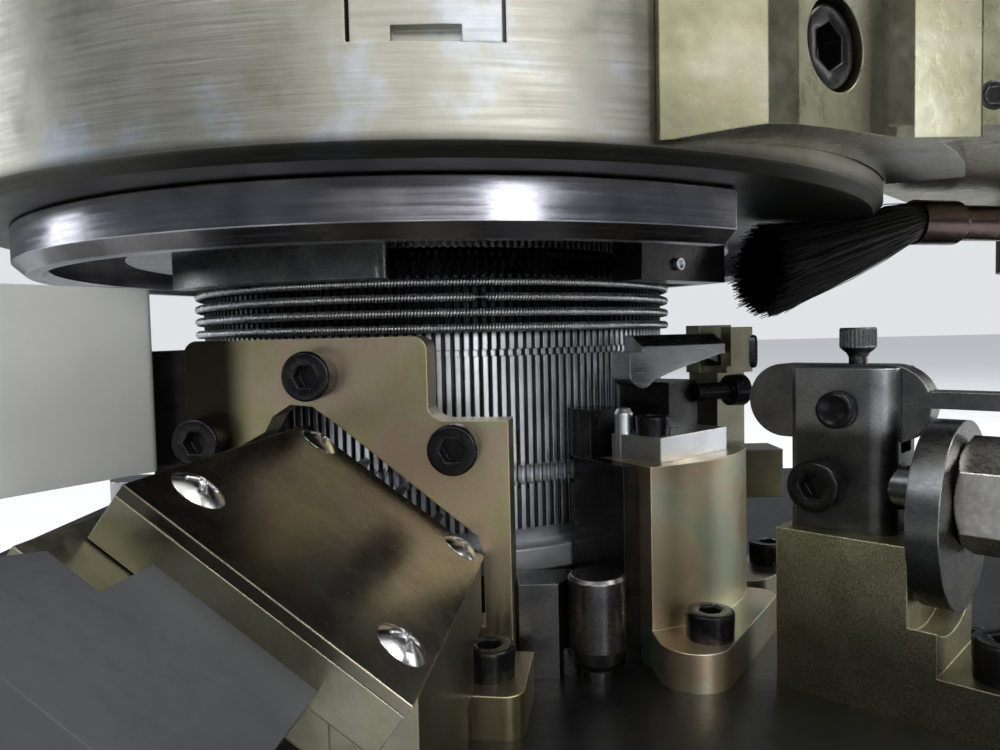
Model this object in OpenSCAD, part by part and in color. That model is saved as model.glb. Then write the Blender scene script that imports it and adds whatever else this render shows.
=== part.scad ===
// Knitting head of a single-cylinder sock knitting machine, in millimetres.
// The cylinder axis is the Z axis, the underside of the base is z = 0, and the front faces -Y.

/* [Base] */
// Length of the bed plate, left to right
bed_l = 290; // [290:1:300]
// Depth of the bed plate, front to back
bed_w = 230; // [230:1:240]
// Thickness of the bed plate
bed_t = 12; // [10:0.5:16]
// How far the bed's centre lies to the right of the cylinder
bed_right = 37; // [36:1:40]
// How far the bed's centre lies in front of the cylinder
bed_front = 10; // [9:1:12]
// Side of the square gear case
case_side = 184; // [184:1:186]
// Wall of the gear case
case_wall = 7; // [5:0.5:8]
// Height of the gear case
case_h = 28; // [26:1:34]
// Thickness of the bottom cover
bottom_t = 4; // [3:0.5:6]
// Hole-to-hole distance of the mounting holes, left to right
mount_x = 274; // [272:1:276]
// Hole-to-hole distance of the mounting holes, front to back
mount_y = 214; // [212:1:216]
// Radius of the mounting holes
mount_r = 4.5; // [3:0.5:5]
// Height of the collar that carries the cylinder
collar_h = 9; // [8:0.5:9]

/* [Cylinder] */
// Radius of the needle cylinder over its trick walls
cylinder_r = 47.6; // [47:0.1:48]
// Number of needles, one to a trick
needle_count = 200; // [160:4:200]
// Width of a trick
trick_w = 0.7; // [0.6:0.05:0.75]
// Depth of a trick
trick_depth = 3.4; // [3:0.1:3.8]
// Bore through the cylinder and its carrier
cylinder_bore_r = 38; // [36:0.5:39]
// Height of the slotted wall
slotted_h = 41; // [41:0.5:43]
// Height of the bevel under the slotted wall
bevel_h = 2.3; // [2:0.1:3]
// Radius of the carrier flange
flange_r = 50.5; // [50:0.1:51]
// Thickness of the carrier flange
flange_t = 4.2; // [4:0.1:4.4]
// Radius of the carrier's sleeve
sleeve_r = 43; // [42:0.5:44]
// Thickness of a needle and of a jack
needle_t = 0.5; // [0.4:0.05:0.55]
// How far a jack's butt stands out of the trick walls
butt_out = 1.9; // [1.5:0.1:2]
// Height of a jack's butt
butt_h = 3; // [2.5:0.1:3.5]
// Height of the butt track over the bed
butt_rise = 25.7; // [25:0.1:26.5]
// Thickness of a sinker
sinker_t = 0.6; // [0.4:0.05:0.7]
// Height of a sinker
sinker_h = 4.7; // [4:0.1:4.9]
// Number of garter springs
spring_count = 4; // [3:1:4]
// Outer diameter of a garter spring's coil
spring_d = 1.6; // [1:0.05:1.7]
// Distance from one garter spring to the next
spring_pitch = 2.42; // [2:0.02:2.5]

/* [Drive] */
// Gear module
gear_module = 1.5; // [1.5:0.5:1.5]
// Teeth of the cylinder gear and of the dial gear
wheel_teeth = 72; // [72:1:72]
// Teeth of the pinions
pinion_teeth = 18; // [18:1:18]
// Face width of the case gears
gear_t = 8; // [6:0.5:10]
// Face width of the dial gear
dial_gear_t = 6; // [5:0.5:7]
// Radius of the pinion's shaft on the left
drive_shaft_r = 6; // [5:0.5:7]
// Length of that shaft's end over the bed
take_off_l = 18; // [15:1:18]
// Radius of the lay shaft
lay_shaft_r = 5; // [4:0.5:5]
// Radius of the lay shaft's free end, where the drive comes in
drive_end_r = 4; // [3:0.5:4]
// Length of that free end over the gear cover
drive_end_l = 18; // [15:1:30]
// Radius of the dial shaft
dial_shaft_r = 8; // [6:0.5:9]
// Running clearance of shafts in their bushes
running_gap = 0.05; // [0.03:0.01:0.08]
// Wall of the small bushes
bush_wall = 3; // [2:0.5:3]
// Bore of the sock tube
tube_bore_r = 32; // [30:0.5:33]
// Wall of the sock tube
tube_wall = 2; // [1.5:0.5:2.5]
// Height of the sock tube
tube_h = 60; // [50:1:70]

/* [Head] */
// Radius of the head disc
disc_r = 87.4; // [87:0.1:88]
// Thickness of the head disc
disc_t = 24.8; // [24:0.1:27]
// Height of the head disc's underside over the bed
disc_rise = 69.2; // [69:0.1:70]
// Bevel under the disc's rim
disc_bevel = 1.6; // [1:0.1:2]
// Outer radius of the guard ring
ring_r = 78.6; // [78:0.1:79]
// Width of the guard ring
ring_w = 5.4; // [4:0.1:5.5]
// Depth of the guard ring
ring_h = 7.6; // [7:0.1:8]
// Radius of the dial
dial_r = 43; // [42:0.1:44]
// Thickness of the dial's rim
dial_t = 3; // [2.5:0.1:3.2]
// Thickness of the gear cover
gear_cover_t = 2.5; // [2:0.5:4]
// Outer radius of the sinker cap
sinker_cap_r = 61; // [60:0.5:61.5]
// Width of the gate block
gate_w = 17; // [14:0.5:20]
// Height of the gate block
gate_h = 13; // [11:0.5:15]
// Depth of the gate block
gate_d = 6; // [4:0.5:6]
// Width of the shelf under the arm, beyond the disc
shelf_w = 11.6; // [11:0.1:12]
// Radius of the column
column_r = 11; // [10:0.5:12]
// Distance of the column from the bed's right end
column_in = 30; // [28:1:34]
// Distance of the column behind the cylinder
column_y = 20; // [18:1:22]

/* [Stations] */
// Distance of the cam plate's face from the cylinder axis
plate_face = 61.4; // [61:0.1:62]
// Turn of the cam plate about the cylinder
plate_turn = -8; // [-9:0.5:-7]
// Thickness of the cam plate
plate_t = 5.4; // [5:0.1:5.6]
// Thickness of the feet that stand on the bed
foot_t = 5.6; // [5:0.1:6]
// Outer radius of the cam tower's round front
tower_round_r = 30; // [28:1:32]
// Height of the cam tower over the bed
tower_h = 30; // [29:0.5:31]
// Thickness of the tower cap
tower_cap_t = 3.8; // [3:0.2:4]
// Slope of the selector box
selector_slope = 37; // [36:0.5:38]
// Width of the selector cover, along its slope
cover_w = 31; // [30:0.5:31]
// Length of the selector cover, towards the cylinder
cover_l = 44; // [43:0.5:44.5]
// Thickness of the selector cover
cover_t = 1.2; // [1:0.1:1.5]
// Thickness of the selector case under its cover
selector_t = 4.6; // [4:0.2:5]
// Height of the adjuster block over the bed
adjuster_h = 22.3; // [22:0.1:23]
// Length of the adjuster block's upper part
adjuster_l = 20.3; // [20:0.1:20.5]
// Depth of the adjuster block
adjuster_d = 16; // [15:0.5:17]
// Height of the adjuster head
head_h = 22; // [21:0.5:23]
// Width of the adjuster head
head_w = 13.5; // [13:0.1:13.6]
// Radius of the eccentric disc
eccentric_r = 12; // [11:0.1:12]
// Throw of the eccentric disc
eccentric_throw = 2.7; // [2.5:0.1:3]
// Length of the picker lever from its pivot to its nose
picker_l = 18.7; // [17:0.1:19]
// Radius of the brush's rod
brush_rod_r = 3.4; // [3:0.1:4]

/* [Hidden] */
$fn = 96;
bed_z = bottom_t + case_h + bed_t;
// Gaps: between pieces that move past each other, and round a shank in its hole
part_gap = 0.3;
hole_gap = 0.05;
seat_gap = 0.02;
// Metric screws: shank radius, head radius, head height, socket across its flats
m3 = [1.5, 2.75, 3, 2.5];
m4 = [2, 3.5, 4, 3];
m5 = [2.5, 4.25, 5, 4];
m6 = [3, 5, 6, 5];
case_in = case_side / 2 - case_wall;
case_boss_r = 6;
case_bosses = [[-82, -60], [-82, 82], [82, 82], [82, -60]];
wheel_pitch_r = gear_module * wheel_teeth / 2;
pinion_pitch_r = gear_module * pinion_teeth / 2;
gear_centres = wheel_pitch_r + pinion_pitch_r;
gear_z = bottom_t + 5;
shaft_end_z = bottom_t + part_gap;
pitch_angle = 360 / needle_count;
floor_r = cylinder_r - trick_depth;
flange_z = bed_z + collar_h + 2.5;
slotted_z = flange_z + flange_t + bevel_h;
slotted_top = slotted_z + slotted_h;
disc_z = bed_z + disc_rise;
disc_top = disc_z + disc_t;
dial_z = slotted_top + sinker_h + 0.8;
recess_floor = disc_top - dial_gear_t - 4.5;
dial_gear_z = recess_floor + 0.8;
recess_r = wheel_pitch_r + gear_module + 2.5;
pinion_recess_r = pinion_pitch_r + gear_module + 2;
cover_ring_r = recess_r + 6;
drive_end_z = disc_top + gear_cover_t + 1;
spring_seat_r = cylinder_r + spring_d / 2;
spring_top_z = slotted_top - 0.7;
wall_groove = 12.6;
cam_in_r = cylinder_r + 0.4;
track_r = cylinder_r + butt_out + 0.6;
butt_z = bed_z + butt_rise;
tower_az = -47.5;
tower_left = -58.8;
tower_right = -36.5;
tower_in_r = 56;
tower_screw = [42.9, -60.4];
tower_nose_r = 5.2;
post_at = [26.6, -60.3];
cover_centre = [-3.94, -82.39, bed_z + 28.55];
cover_az = -6.65;
cover_screw_x = 24.1;
cover_screw_y = 33.4;
cover_screw_back = 2.4;
adjuster_at = [51.3, -63.8, bed_z];
adjuster_turn = -44;
spindle_y = 7;
spindle_z = 28.5;
picker_at = [50.5, -36.5, bed_z + 46];
picker_turn = 212.3;
column_x = bed_l / 2 + bed_right - column_in;
brush_at = [disc_r + 4.6, -22, disc_z];
brush_turn = 14;
ring_gap_from = -54;
ring_gap_to = 15;
side_at = [-38.1, -53.8];
side_turn = 237.4;
panel_h = 57.8;
panel_cover_h = 27.3;

// Flat outline of a ring between two angles
module sector(r_in, r_out, from, to) {
    intersection() {
        difference() {
            circle(r_out);
            circle(r_in);
        }
        wedge(r_out * 1.5, from, to);
    }
}

// Flat wedge from the axis, up to 180 degrees and more
module wedge(r, from, to) {
    steps = ceil((to - from) / 60);
    arc = [for (i = [0:steps]) r * [cos(from + (to - from) * i / steps),
                                    sin(from + (to - from) * i / steps)]];
    polygon(concat([[0, 0]], arc));
}

// Ring of round section from z = 0 up
module tube(r_in, r_out, h) {
    difference() {
        cylinder(r = r_out, h = h);
        translate([0, 0, -1]) cylinder(r = r_in, h = h + 2);
    }
}

// Socket head cap screw, its head standing on z = 0 and its shank below
module cap_screw(size, length) {
    difference() {
        union() {
            cylinder(r = size[1], h = size[2]);
            translate([0, 0, -length]) cylinder(r = size[0], h = length + 0.1);
        }
        translate([0, 0, size[2] * 0.45])
            cylinder(d = size[3] / cos(30), h = size[2], $fn = 6);
    }
}

// Hole for such a screw, with room for its head above z = 0
module screw_hole(size, length, over = 0) {
    translate([0, 0, -length - 0.5]) cylinder(r = size[0] + hole_gap, h = length + 1);
    if (over > 0) cylinder(r = size[1] + part_gap, h = over);
}

// Involute tooth flank: points of one side, from the root circle to the tip
function inv_point(base_r, t) =
    base_r * [cos(t) + t * PI / 180 * sin(t), sin(t) - t * PI / 180 * cos(t)];
function inv_angle(a) = tan(a) * 180 / PI - a;
function turned(p, a) = [p[0] * cos(a) - p[1] * sin(a), p[0] * sin(a) + p[1] * cos(a)];

// Outline of one spur gear, with a tooth centred on the +X axis
function gear_points(teeth, backlash = 0.16) =
    let (pitch_r = gear_module * teeth / 2,
         base_r = pitch_r * cos(20),
         tip_r = pitch_r + gear_module * 0.95,
         root_r = pitch_r - gear_module * 1.25,
         half = 90 / teeth - backlash / pitch_r * 90 / PI + inv_angle(20),
         t_end = sqrt(pow(tip_r / base_r, 2) - 1) * 180 / PI,
         t_start = root_r > base_r ? sqrt(pow(root_r / base_r, 2) - 1) * 180 / PI : 0,
         flank = [for (i = [0:4]) turned(inv_point(base_r, t_start + (t_end - t_start) * i / 4), -half)],
         foot = root_r < base_r ? [turned([root_r, 0], -half)] : [],
         right = concat(foot, flank),
         left = [for (i = [len(right) - 1:-1:0]) [right[i][0], -right[i][1]]])
    [for (k = [0:teeth - 1]) each [for (p = concat(right, left)) turned(p, k * 360 / teeth)]];

module spur_gear(teeth, bore, h) {
    difference() {
        linear_extrude(h) polygon(gear_points(teeth));
        translate([0, 0, -1]) cylinder(r = bore, h = h + 2);
    }
}

// Outline of a round wall with a slot for every needle
function slotted_points(r, depth, width) =
    [for (k = [0:needle_count - 1]) each
        [for (p = [[r, -width / 2], [r - depth, -width / 2], [r - depth, width / 2], [r, width / 2]])
            turned(p, k * pitch_angle)]];

module bed_plate() {
    color([0.2, 0.21, 0.2])
    difference() {
        union() {
            translate([bed_right, -bed_front, bed_z - bed_t]) linear_extrude(bed_t)
                offset(r = 6, $fn = 24) square([bed_l - 12, bed_w - 12], center = true);
            cylinder(r = flange_r - 0.5, h = bed_z + collar_h);
        }
        translate([0, 0, -1]) cylinder(r = flange_r, h = bed_z - bed_t + 1);
        translate([0, 0, -1]) cylinder(r = sleeve_r + bush_wall + seat_gap, h = bed_z + collar_h + 2);
        translate([-gear_centres, 0, 0])
            cylinder(r = drive_shaft_r + bush_wall + seat_gap, h = bed_z + 1);
        translate([0, gear_centres, 0])
            cylinder(r = lay_shaft_r + bush_wall + seat_gap, h = bed_z + 1);
        for (x = [-1, 1], y = [-1, 1])
            translate([bed_right + x * mount_x / 2, -bed_front + y * mount_y / 2, 0])
                cylinder(r = mount_r, h = bed_z + 1);
        for (p = case_bosses) translate([p[0], p[1], bed_z]) screw_hole(m5, bed_t);
        station_holes();
        translate([column_x, column_y, 0]) cylinder(r = column_r * 0.6 + hole_gap, h = bed_z + 1);
    }
}

module gear_case() {
    color([0.24, 0.26, 0.25])
    translate([0, 0, bottom_t]) linear_extrude(case_h) difference() {
        offset(r = 10, $fn = 32) square(case_side - 20, center = true);
        difference() {
            offset(r = 5, $fn = 32) square(2 * case_in - 10, center = true);
            for (p = case_bosses) translate(p) circle(case_boss_r);
            for (p = case_bosses) boss_web(p);
        }
        for (p = case_bosses) translate(p) circle(m5[0] + hole_gap);
    }
}

// Web that joins a boss inside the case to the nearest walls
module boss_web(p) {
    sx = sign(p[0]);
    translate([sx > 0 ? p[0] : -case_side / 2 + 2, p[1] - case_boss_r / 2])
        square([case_side / 2 - 2 - abs(p[0]), case_boss_r]);
}

module bottom_cover() {
    color([0.3, 0.31, 0.3])
    difference() {
        linear_extrude(bottom_t) offset(r = 10, $fn = 32) square(case_side - 20, center = true);
        translate([0, 0, -1]) cylinder(r = tube_bore_r + tube_wall + seat_gap, h = bottom_t + 2);
        for (p = case_bosses) translate([p[0], p[1], bottom_t])
            translate([0, 0, -bottom_t + 1]) cylinder(r = m5[0] + hole_gap, h = bottom_t);
    }
}

module case_screws() {
    color([0.08, 0.08, 0.09]) {
        for (p = case_bosses) translate([p[0], p[1], bed_z])
            cap_screw(m5, bed_t + case_h + bottom_t - 1.5);
        for (a = gear_cover_screws) rotate(a) translate([cover_ring_r, 0, disc_top + gear_cover_t])
            cap_screw(m3, gear_cover_t + 7);
    }
}

module sock_tube() {
    color([0.55, 0.56, 0.57])
    rotate_extrude() polygon([
        [tube_bore_r, 0], [tube_bore_r + tube_wall, 0], [tube_bore_r + tube_wall, bottom_t],
        [cylinder_bore_r, bottom_t], [cylinder_bore_r, bottom_t + 2],
        [tube_bore_r + tube_wall, bottom_t + 2], [tube_bore_r + tube_wall, tube_h],
        [tube_bore_r, tube_h]]);
}

module cylinder_bush() {
    color([0.72, 0.55, 0.3])
    rotate_extrude() polygon([
        [sleeve_r + running_gap, bed_z - bed_t], [sleeve_r + bush_wall, bed_z - bed_t],
        [sleeve_r + bush_wall, bed_z + collar_h], [flange_r - 1.5, bed_z + collar_h],
        [flange_r - 1.5, flange_z - part_gap], [sleeve_r + running_gap, flange_z - part_gap]]);
}

module shaft_bushes() {
    color([0.72, 0.55, 0.3]) {
        translate([-gear_centres, 0, bed_z - bed_t])
            tube(drive_shaft_r + running_gap, drive_shaft_r + bush_wall, bed_t + 1);
        translate([0, gear_centres, bed_z - bed_t])
            tube(lay_shaft_r + running_gap, lay_shaft_r + bush_wall, bed_t + 1);
        translate([0, gear_centres, disc_z])
            tube(lay_shaft_r + running_gap, lay_shaft_r + bush_wall, recess_floor - disc_z);
    }
}

// Upright plate that carries the cams at the front
module cam_plate() {
    foot_mid = 20;
    foot_w = 12;
    foot_out = 14;
    color([0.72, 0.66, 0.42])
    rotate(plate_turn) translate([0, -plate_face, bed_z]) difference() {
        union() {
            translate([0, plate_t, 0]) rotate([90, 0, 0]) linear_extrude(plate_t) plate_outline();
            linear_extrude(foot_t) hull() {
                for (s = [-1, 1]) translate([foot_mid + s * (foot_w / 2 - 2.5), -foot_out + 2.5])
                    circle(2.5);
                translate([foot_mid - foot_w / 2, -1]) square([foot_w, 1]);
            }
        }
        for (p = plate_screw_points) translate([p[0], 0, p[1]]) rotate([90, 0, 0])
            screw_hole(m4, plate_t + 1);
        translate([plate_foot_screw[0], plate_foot_screw[1], foot_t]) screw_hole(m4, foot_t + 1);
    }
}

plate_screw_points = [[-4.4, 44.7], [15.9, 34.4], [-21, 35.5]];
plate_foot_screw = [20.9, -7.4];
plate_step = [12, 23.15, 38];

module plate_outline() {
    difference() {
        union() {
            hull() {
                translate([-24.2, 0]) square([36.1, 40]);
                translate([-22.2, 47.9]) circle(2);
                translate([9.9, 47.9]) circle(2);
            }
            square([plate_step[1], plate_step[2]]);
            difference() {
                translate([11, 37]) square([3.6, 4]);
                translate([plate_step[0] + 2.6, plate_step[2] + 3]) circle(3);
            }
        }
        polygon([[-12.2, 36.6], [-11, 38.8], [-8.3, 40.5], [-5, 40.2], [-1.4, 37.6], [18.5, 21.8],
                 [19.3, 19], [19.3, 9], [-19, 9], [-19, 33]]);
    }
}

// Cam behind the left of the cam plate, with the track that the butts run in
module raising_cam() {
    color([0.16, 0.16, 0.17])
    difference() {
        rotate(plate_turn) translate([0, -plate_face + plate_t, bed_z]) difference() {
            translate([-33, 0, 0]) cube([18.5, 14, 48.5]);
            translate([plate_screw_points[2][0], 6, plate_screw_points[2][1]]) rotate([90, 0, 0])
                cylinder(r = m4[0] + hole_gap, h = 7);
        }
        translate([0, 0, bed_z - 1]) cylinder(r = cam_in_r, h = 60);
        translate([0, 0, butt_z - 0.6]) cylinder(r = track_r, h = butt_h + 1.2);
        translate([0, 0, bed_z - 1]) cylinder(r = flange_r + part_gap, h = flange_z + flange_t - bed_z + 2);
    }
}

// Dark cam between the tower and the cylinder
module stitch_cam() {
    color([0.09, 0.09, 0.1])
    translate([0, 0, bed_z]) difference() {
        union() {
            linear_extrude(tower_h + tower_cap_t) sector(cam_in_r, tower_in_r - 0.1, -54, tower_right);
            translate([0, 0, 18.5]) linear_extrude(18.9)
                sector(cam_in_r, tower_in_r - 2, tower_left - 0.4, -52);
            linear_extrude(tower_h) sector(tower_in_r - 4, 65, tower_left - 2.5, tower_left - 0.1);
            translate([0, 0, tower_h + tower_cap_t]) linear_extrude(7.6) sector(50.2, 60, -47, -38);
            translate([0, 0, tower_h + 1]) linear_extrude(tower_cap_t) sector(50.2, 55, -47, -38);
        }
        on_stop_screw() translate([0, 0, -8]) cylinder(r = m3[0] + hole_gap, h = 9);
        translate([0, 0, butt_rise - 0.6]) cylinder(r = track_r, h = butt_h + 1.2);
        translate([0, 0, -1]) cylinder(r = flange_r + part_gap, h = flange_z + flange_t - bed_z + 2);
    }
}

// Places its children on the head seat of the picker's stop screw: z runs to the right
module on_stop_screw() {
    translate([52.9, -36, stop_rise]) rotate([0, 90, 22]) children();
}

module guide_post() {
    color([0.3, 0.31, 0.32])
    translate([0, 0, bed_z]) union() {
        translate(post_at) rotate_extrude() polygon([
            [0, 0], [2.4, 0], [2.4, 1.6], [3.5, 2.8], [4.1, 4.8], [4.1, 14.7], [3.7, 15.2], [0, 15.4]]);
        linear_extrude(14) polygon([[15.3, -61], [21, -61], [23.6, -57], [23.6, -54], [12.4, -54],
                                    [12.4, -57.9], [15.3, -57.9]]);
        linear_extrude(4) polygon([[15.3, -61], [20.4, -61], [21.4, -60], [24.6, -59], [24.6, -54],
                                   [15.3, -54]]);
    }
}

module tower_foot_outline() {
    difference() {
        hull() {
            translate([40.4, -61.6]) circle(tower_nose_r);
            translate([55, -42.7]) circle(3.4);
            translate([36.5, -52]) circle(2);
            translate([48.5, -39.5]) circle(2);
        }
        circle(tower_in_r);
    }
}

module tower_outline() {
    centre_r = tower_in_r - 16.5;
    intersection() {
        sector(tower_in_r, tower_in_r + 20, tower_left, tower_right);
        translate(centre_r * [cos(tower_az), sin(tower_az)]) circle(tower_round_r);
    }
}

module cam_tower() {
    color([0.72, 0.66, 0.42])
    translate([0, 0, bed_z]) difference() {
        union() {
            linear_extrude(foot_t) tower_foot_outline();
            linear_extrude(tower_h) tower_outline();
        }
        translate([tower_screw[0], tower_screw[1], foot_t]) {
            screw_hole(m4, foot_t + 1);
            cylinder(r = m4[1] + 1.2, h = m4[2] + 1);
        }
        translate([cap_screw_at[0], cap_screw_at[1], tower_h]) screw_hole(m3, 8);
    }
}

cap_screw_at = [37, -50];
cap_post_at = [32.8, -48];
cap_post_r = 1.45;
stop_rise = 39.3;

module tower_cap() {
    color([0.75, 0.76, 0.78])
    translate([0, 0, bed_z + tower_h]) difference() {
        union() {
            rotate(tower_az) linear_extrude(tower_cap_t) translate([tower_in_r + 0.2, -9.6])
                square([9.4, 18.1]);
            translate(cap_post_at) rotate_extrude() polygon([
                [0, 0], [cap_post_r, 0], [cap_post_r, 7], [1, 7.8], [0, 8]]);
        }
        translate([cap_screw_at[0], cap_screw_at[1], tower_cap_t]) screw_hole(m3, tower_cap_t + 1);
    }
}

// Points on the bed where a foot is screwed down, and the height of each foot
plate_foot_at = turned([plate_foot_screw[0], -plate_face + plate_foot_screw[1]], plate_turn);
adjuster_foot_at = [adjuster_at[0], adjuster_at[1]] + turned([27, 5.6], adjuster_turn);
picker_foot_at = [63.5, -24.5];
station_feet = [plate_foot_at, tower_screw, picker_foot_at];

module station_holes() {
    for (p = station_feet) translate([p[0], p[1], bed_z]) screw_hole(m4, 9);
    translate([adjuster_foot_at[0], adjuster_foot_at[1], bed_z]) screw_hole(m5, 9);
}

module station_screws() {
    color([0.07, 0.07, 0.08]) {
        for (p = station_feet) translate([p[0], p[1], bed_z + foot_t]) cap_screw(m4, foot_t + 8);
        rotate(plate_turn) translate([0, -plate_face, bed_z])
            for (p = plate_screw_points) translate([p[0], 0, p[1]]) rotate([90, 0, 0])
                cap_screw(m4, plate_t);
        translate([cap_screw_at[0], cap_screw_at[1], bed_z + tower_h + tower_cap_t])
            cap_screw(m3, tower_cap_t + 7);
        translate([0, 0, bed_z]) on_stop_screw() cap_screw(m3, 7);
    }
}

// Places its children on the plane of the selector cover: x down the slope, y to the cylinder
module on_selector() {
    translate(cover_centre) rotate([0, 0, cover_az]) rotate([0, selector_slope, 0]) children();
}

// Stand of the selector: sloping plate, leg to the bed and wall beside the cam plate's foot
module selector_bracket() {
    low = selector_t + cover_t;
    run = cover_w / 2 * cos(selector_slope);
    drop = cover_w / 2 * sin(selector_slope) + low / cos(selector_slope);
    edge = -cover_w / 2 * sin(selector_slope);
    base_z = bed_z - cover_centre[2];
    rise = 1.75 * run * tan(selector_slope);
    leg = 8;
    color([0.55, 0.54, 0.42])
    difference() {
        union() {
            on_selector() translate([-17.5, -31, -low - 4.6]) cube([7.5, 17, 4.4]);
            on_selector() translate([-12, -23.5, -low - 4.6]) cube([10, 9.5, 4.4]);
            translate(cover_centre) rotate([0, 0, cover_az]) rotate([90, 0, 0]) {
                translate([0, 0, -8]) linear_extrude(30.4) polygon([
                    [run, -drop], [-run * 0.75, -drop + rise], [-run * 0.75, -drop + rise - 6],
                    [run, -drop - 6]]);
                translate([0, 0, -2.5]) linear_extrude(25) polygon([
                    [run, base_z], [run, edge], [run - leg, edge + leg * tan(selector_slope)],
                    [run - leg, base_z + 6], [-run * 0.3, base_z + 6], [-run * 0.3, base_z]]);
                translate([0, 0, -16]) linear_extrude(14) polygon([
                    [run, base_z + 11], [run, edge], [run - 4, edge], [run - 4, base_z + 11]]);
            }
        }
        on_selector() translate([-cover_w, -cover_l, -low])
            cube([1.5 * cover_w + seat_gap, 2 * cover_l, 20]);
    }
}

module selector_case() {
    color([0.62, 0.58, 0.4])
    on_selector() difference() {
        translate([-cover_w / 2, -cover_l / 2 - cover_screw_back, -cover_t - selector_t])
            cube([cover_w, cover_l, selector_t]);
        for (x = [-1, 1], y = [-1, 1])
            translate([x * cover_screw_x / 2, y * cover_screw_y / 2, -cover_t - 4])
                cylinder(r = m3[0] + hole_gap, h = 5);
        for (x = finger_x) translate([x - 1, 8, -cover_t - selector_t - 1])
            cube([2, 30, selector_t + 2]);
    }
}

finger_x = [-7, 0, 7];
finger_pin_r = 0.8;
finger_pivot_y = 12;
finger_l = 18.6;

module selector_finger(x) {
    color([0.7, 0.71, 0.73])
    on_selector() difference() {
        translate([x - 0.6, finger_pivot_y - 2.4, -cover_t - selector_t / 2 - 1.4])
            cube([1.2, finger_l + 2.4, 2.8]);
        translate([x - 1, finger_pivot_y, -cover_t - selector_t / 2]) rotate([0, 90, 0])
            cylinder(r = finger_pin_r + running_gap, h = 2);
    }
}

module selector_finger_1() {
    selector_finger(finger_x[0]);
}

module selector_finger_2() {
    selector_finger(finger_x[1]);
}

module selector_finger_3() {
    selector_finger(finger_x[2]);
}

module selector_cover() {
    color([0.8, 0.81, 0.8])
    on_selector() difference() {
        translate([-cover_w / 2, -cover_l / 2 - cover_screw_back, -cover_t])
            cube([cover_w, cover_l, cover_t]);
        for (x = [-1, 1], y = [-1, 1])
            translate([x * cover_screw_x / 2, y * cover_screw_y / 2, -cover_t - 0.1])
                cylinder(r1 = m3[0] + hole_gap, r2 = m3[1] + hole_gap, h = cover_t + 0.1 + hole_gap);
    }
}

module cover_screws() {
    color([0.72, 0.73, 0.74])
    on_selector() for (x = [-1, 1], y = [-1, 1])
        translate([x * cover_screw_x / 2, y * cover_screw_y / 2, 0]) difference() {
            union() {
                translate([0, 0, -cover_t]) cylinder(r1 = m3[0], r2 = m3[1], h = cover_t);
                translate([0, 0, -cover_t - 3.6]) cylinder(r = m3[0], h = 3.7);
            }
            for (a = [30, 120]) rotate(a) translate([-1.6, -0.3, -0.8]) cube([3.2, 0.6, 1]);
        }
}

module selector_housing() {
    start = -cover_l / 2 - cover_screw_back;
    color([0.42, 0.45, 0.5])
    on_selector() translate([0, 0, -20]) linear_extrude(16) polygon([
        [-9.4, start], [8.4, start], [8.4, -44], [-18, -44], [-14.7, start - 7.4], [-9.4, start - 7.4]]);
}

module side_cover() {
    wall = 2;
    length = 50;
    depth = 24;
    low = panel_h - panel_cover_h;
    color([0.85, 0.86, 0.86])
    translate([side_at[0], side_at[1], bed_z]) rotate(side_turn) union() {
        difference() {
            translate([0, 0, low]) linear_extrude(panel_cover_h) offset(r = 1.5, $fn = 24)
                translate([1.5, -depth + 1.5]) square([length - 3, depth - 3]);
            translate([wall, -depth + wall, low - 1])
                cube([length - 2 * wall, depth - 2 * wall, panel_cover_h - wall + 1]);
        }
        translate([length - 20, -depth / 2 - 6, 0]) cube([12, 12, panel_h - wall / 2]);
    }
}

// Places its children on the adjuster: x along its face, y into it, z up from the bed
module on_adjuster() {
    translate(adjuster_at) rotate(adjuster_turn) children();
}

module adjuster_block() {
    color([0.7, 0.64, 0.42])
    on_adjuster() difference() {
        union() {
            cube([adjuster_l, adjuster_d, adjuster_h]);
            cube([34, adjuster_d, foot_t + 1]);
        }
        translate([adjuster_l - 3.4, spindle_y, spindle_z - eccentric_throw]) rotate([0, 90, 0])
            cylinder(r = eccentric_r + eccentric_throw + 0.6, h = 14);
        translate([27, 5.6, foot_t + 1]) screw_hole(m5, foot_t + 2);
        translate([5.3, 8.6, adjuster_h]) screw_hole(m4, 12);
    }
}

module adjuster_head() {
    left = 0.6;
    front = 3;
    deep = 11;
    slot_z = adjuster_h + 10.6;
    color([0.42, 0.42, 0.43])
    on_adjuster() difference() {
        translate([left, front, adjuster_h]) linear_extrude(head_h) hull() {
            translate([1, 0]) square([2, deep]);
            translate([0, 1]) square([2, deep - 1]);
            translate([head_w - 3, 3]) circle(3);
            translate([head_w - 2, deep - 2]) circle(2);
        }
        translate([left - 1, front + 3.6, slot_z]) cube([head_w + 2, 4.2, head_h]);
        translate([7.4, front - 1, pin_z]) rotate([-90, 0, 0]) cylinder(r = 2.5, h = deep + 2);
        translate([8.2, spindle_y, spindle_z]) rotate([0, 90, 0])
            cylinder(r = spindle_r + running_gap, h = head_w);
        translate([5.3, front, 28.6]) rotate([90, 0, 0]) screw_hole(m4, 3.2);
    }
}

pin_z = 38.8;
spindle_r = 3;
eccentric_x = 18;
eccentric_t = 3.7;

module adjuster_screws() {
    color([0.06, 0.06, 0.07])
    on_adjuster() {
        translate([5.3, 3, 28.6]) rotate([90, 0, 0]) cap_screw(m4, 3);
        translate([27, 5.6, foot_t + 1]) cap_screw(m5, foot_t + 9);
        translate([7.4, 3, pin_z]) rotate([-90, 0, 0]) union() {
            translate([0, 0, -2]) cylinder(r = 2.45, h = 13);
        }
    }
}

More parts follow.
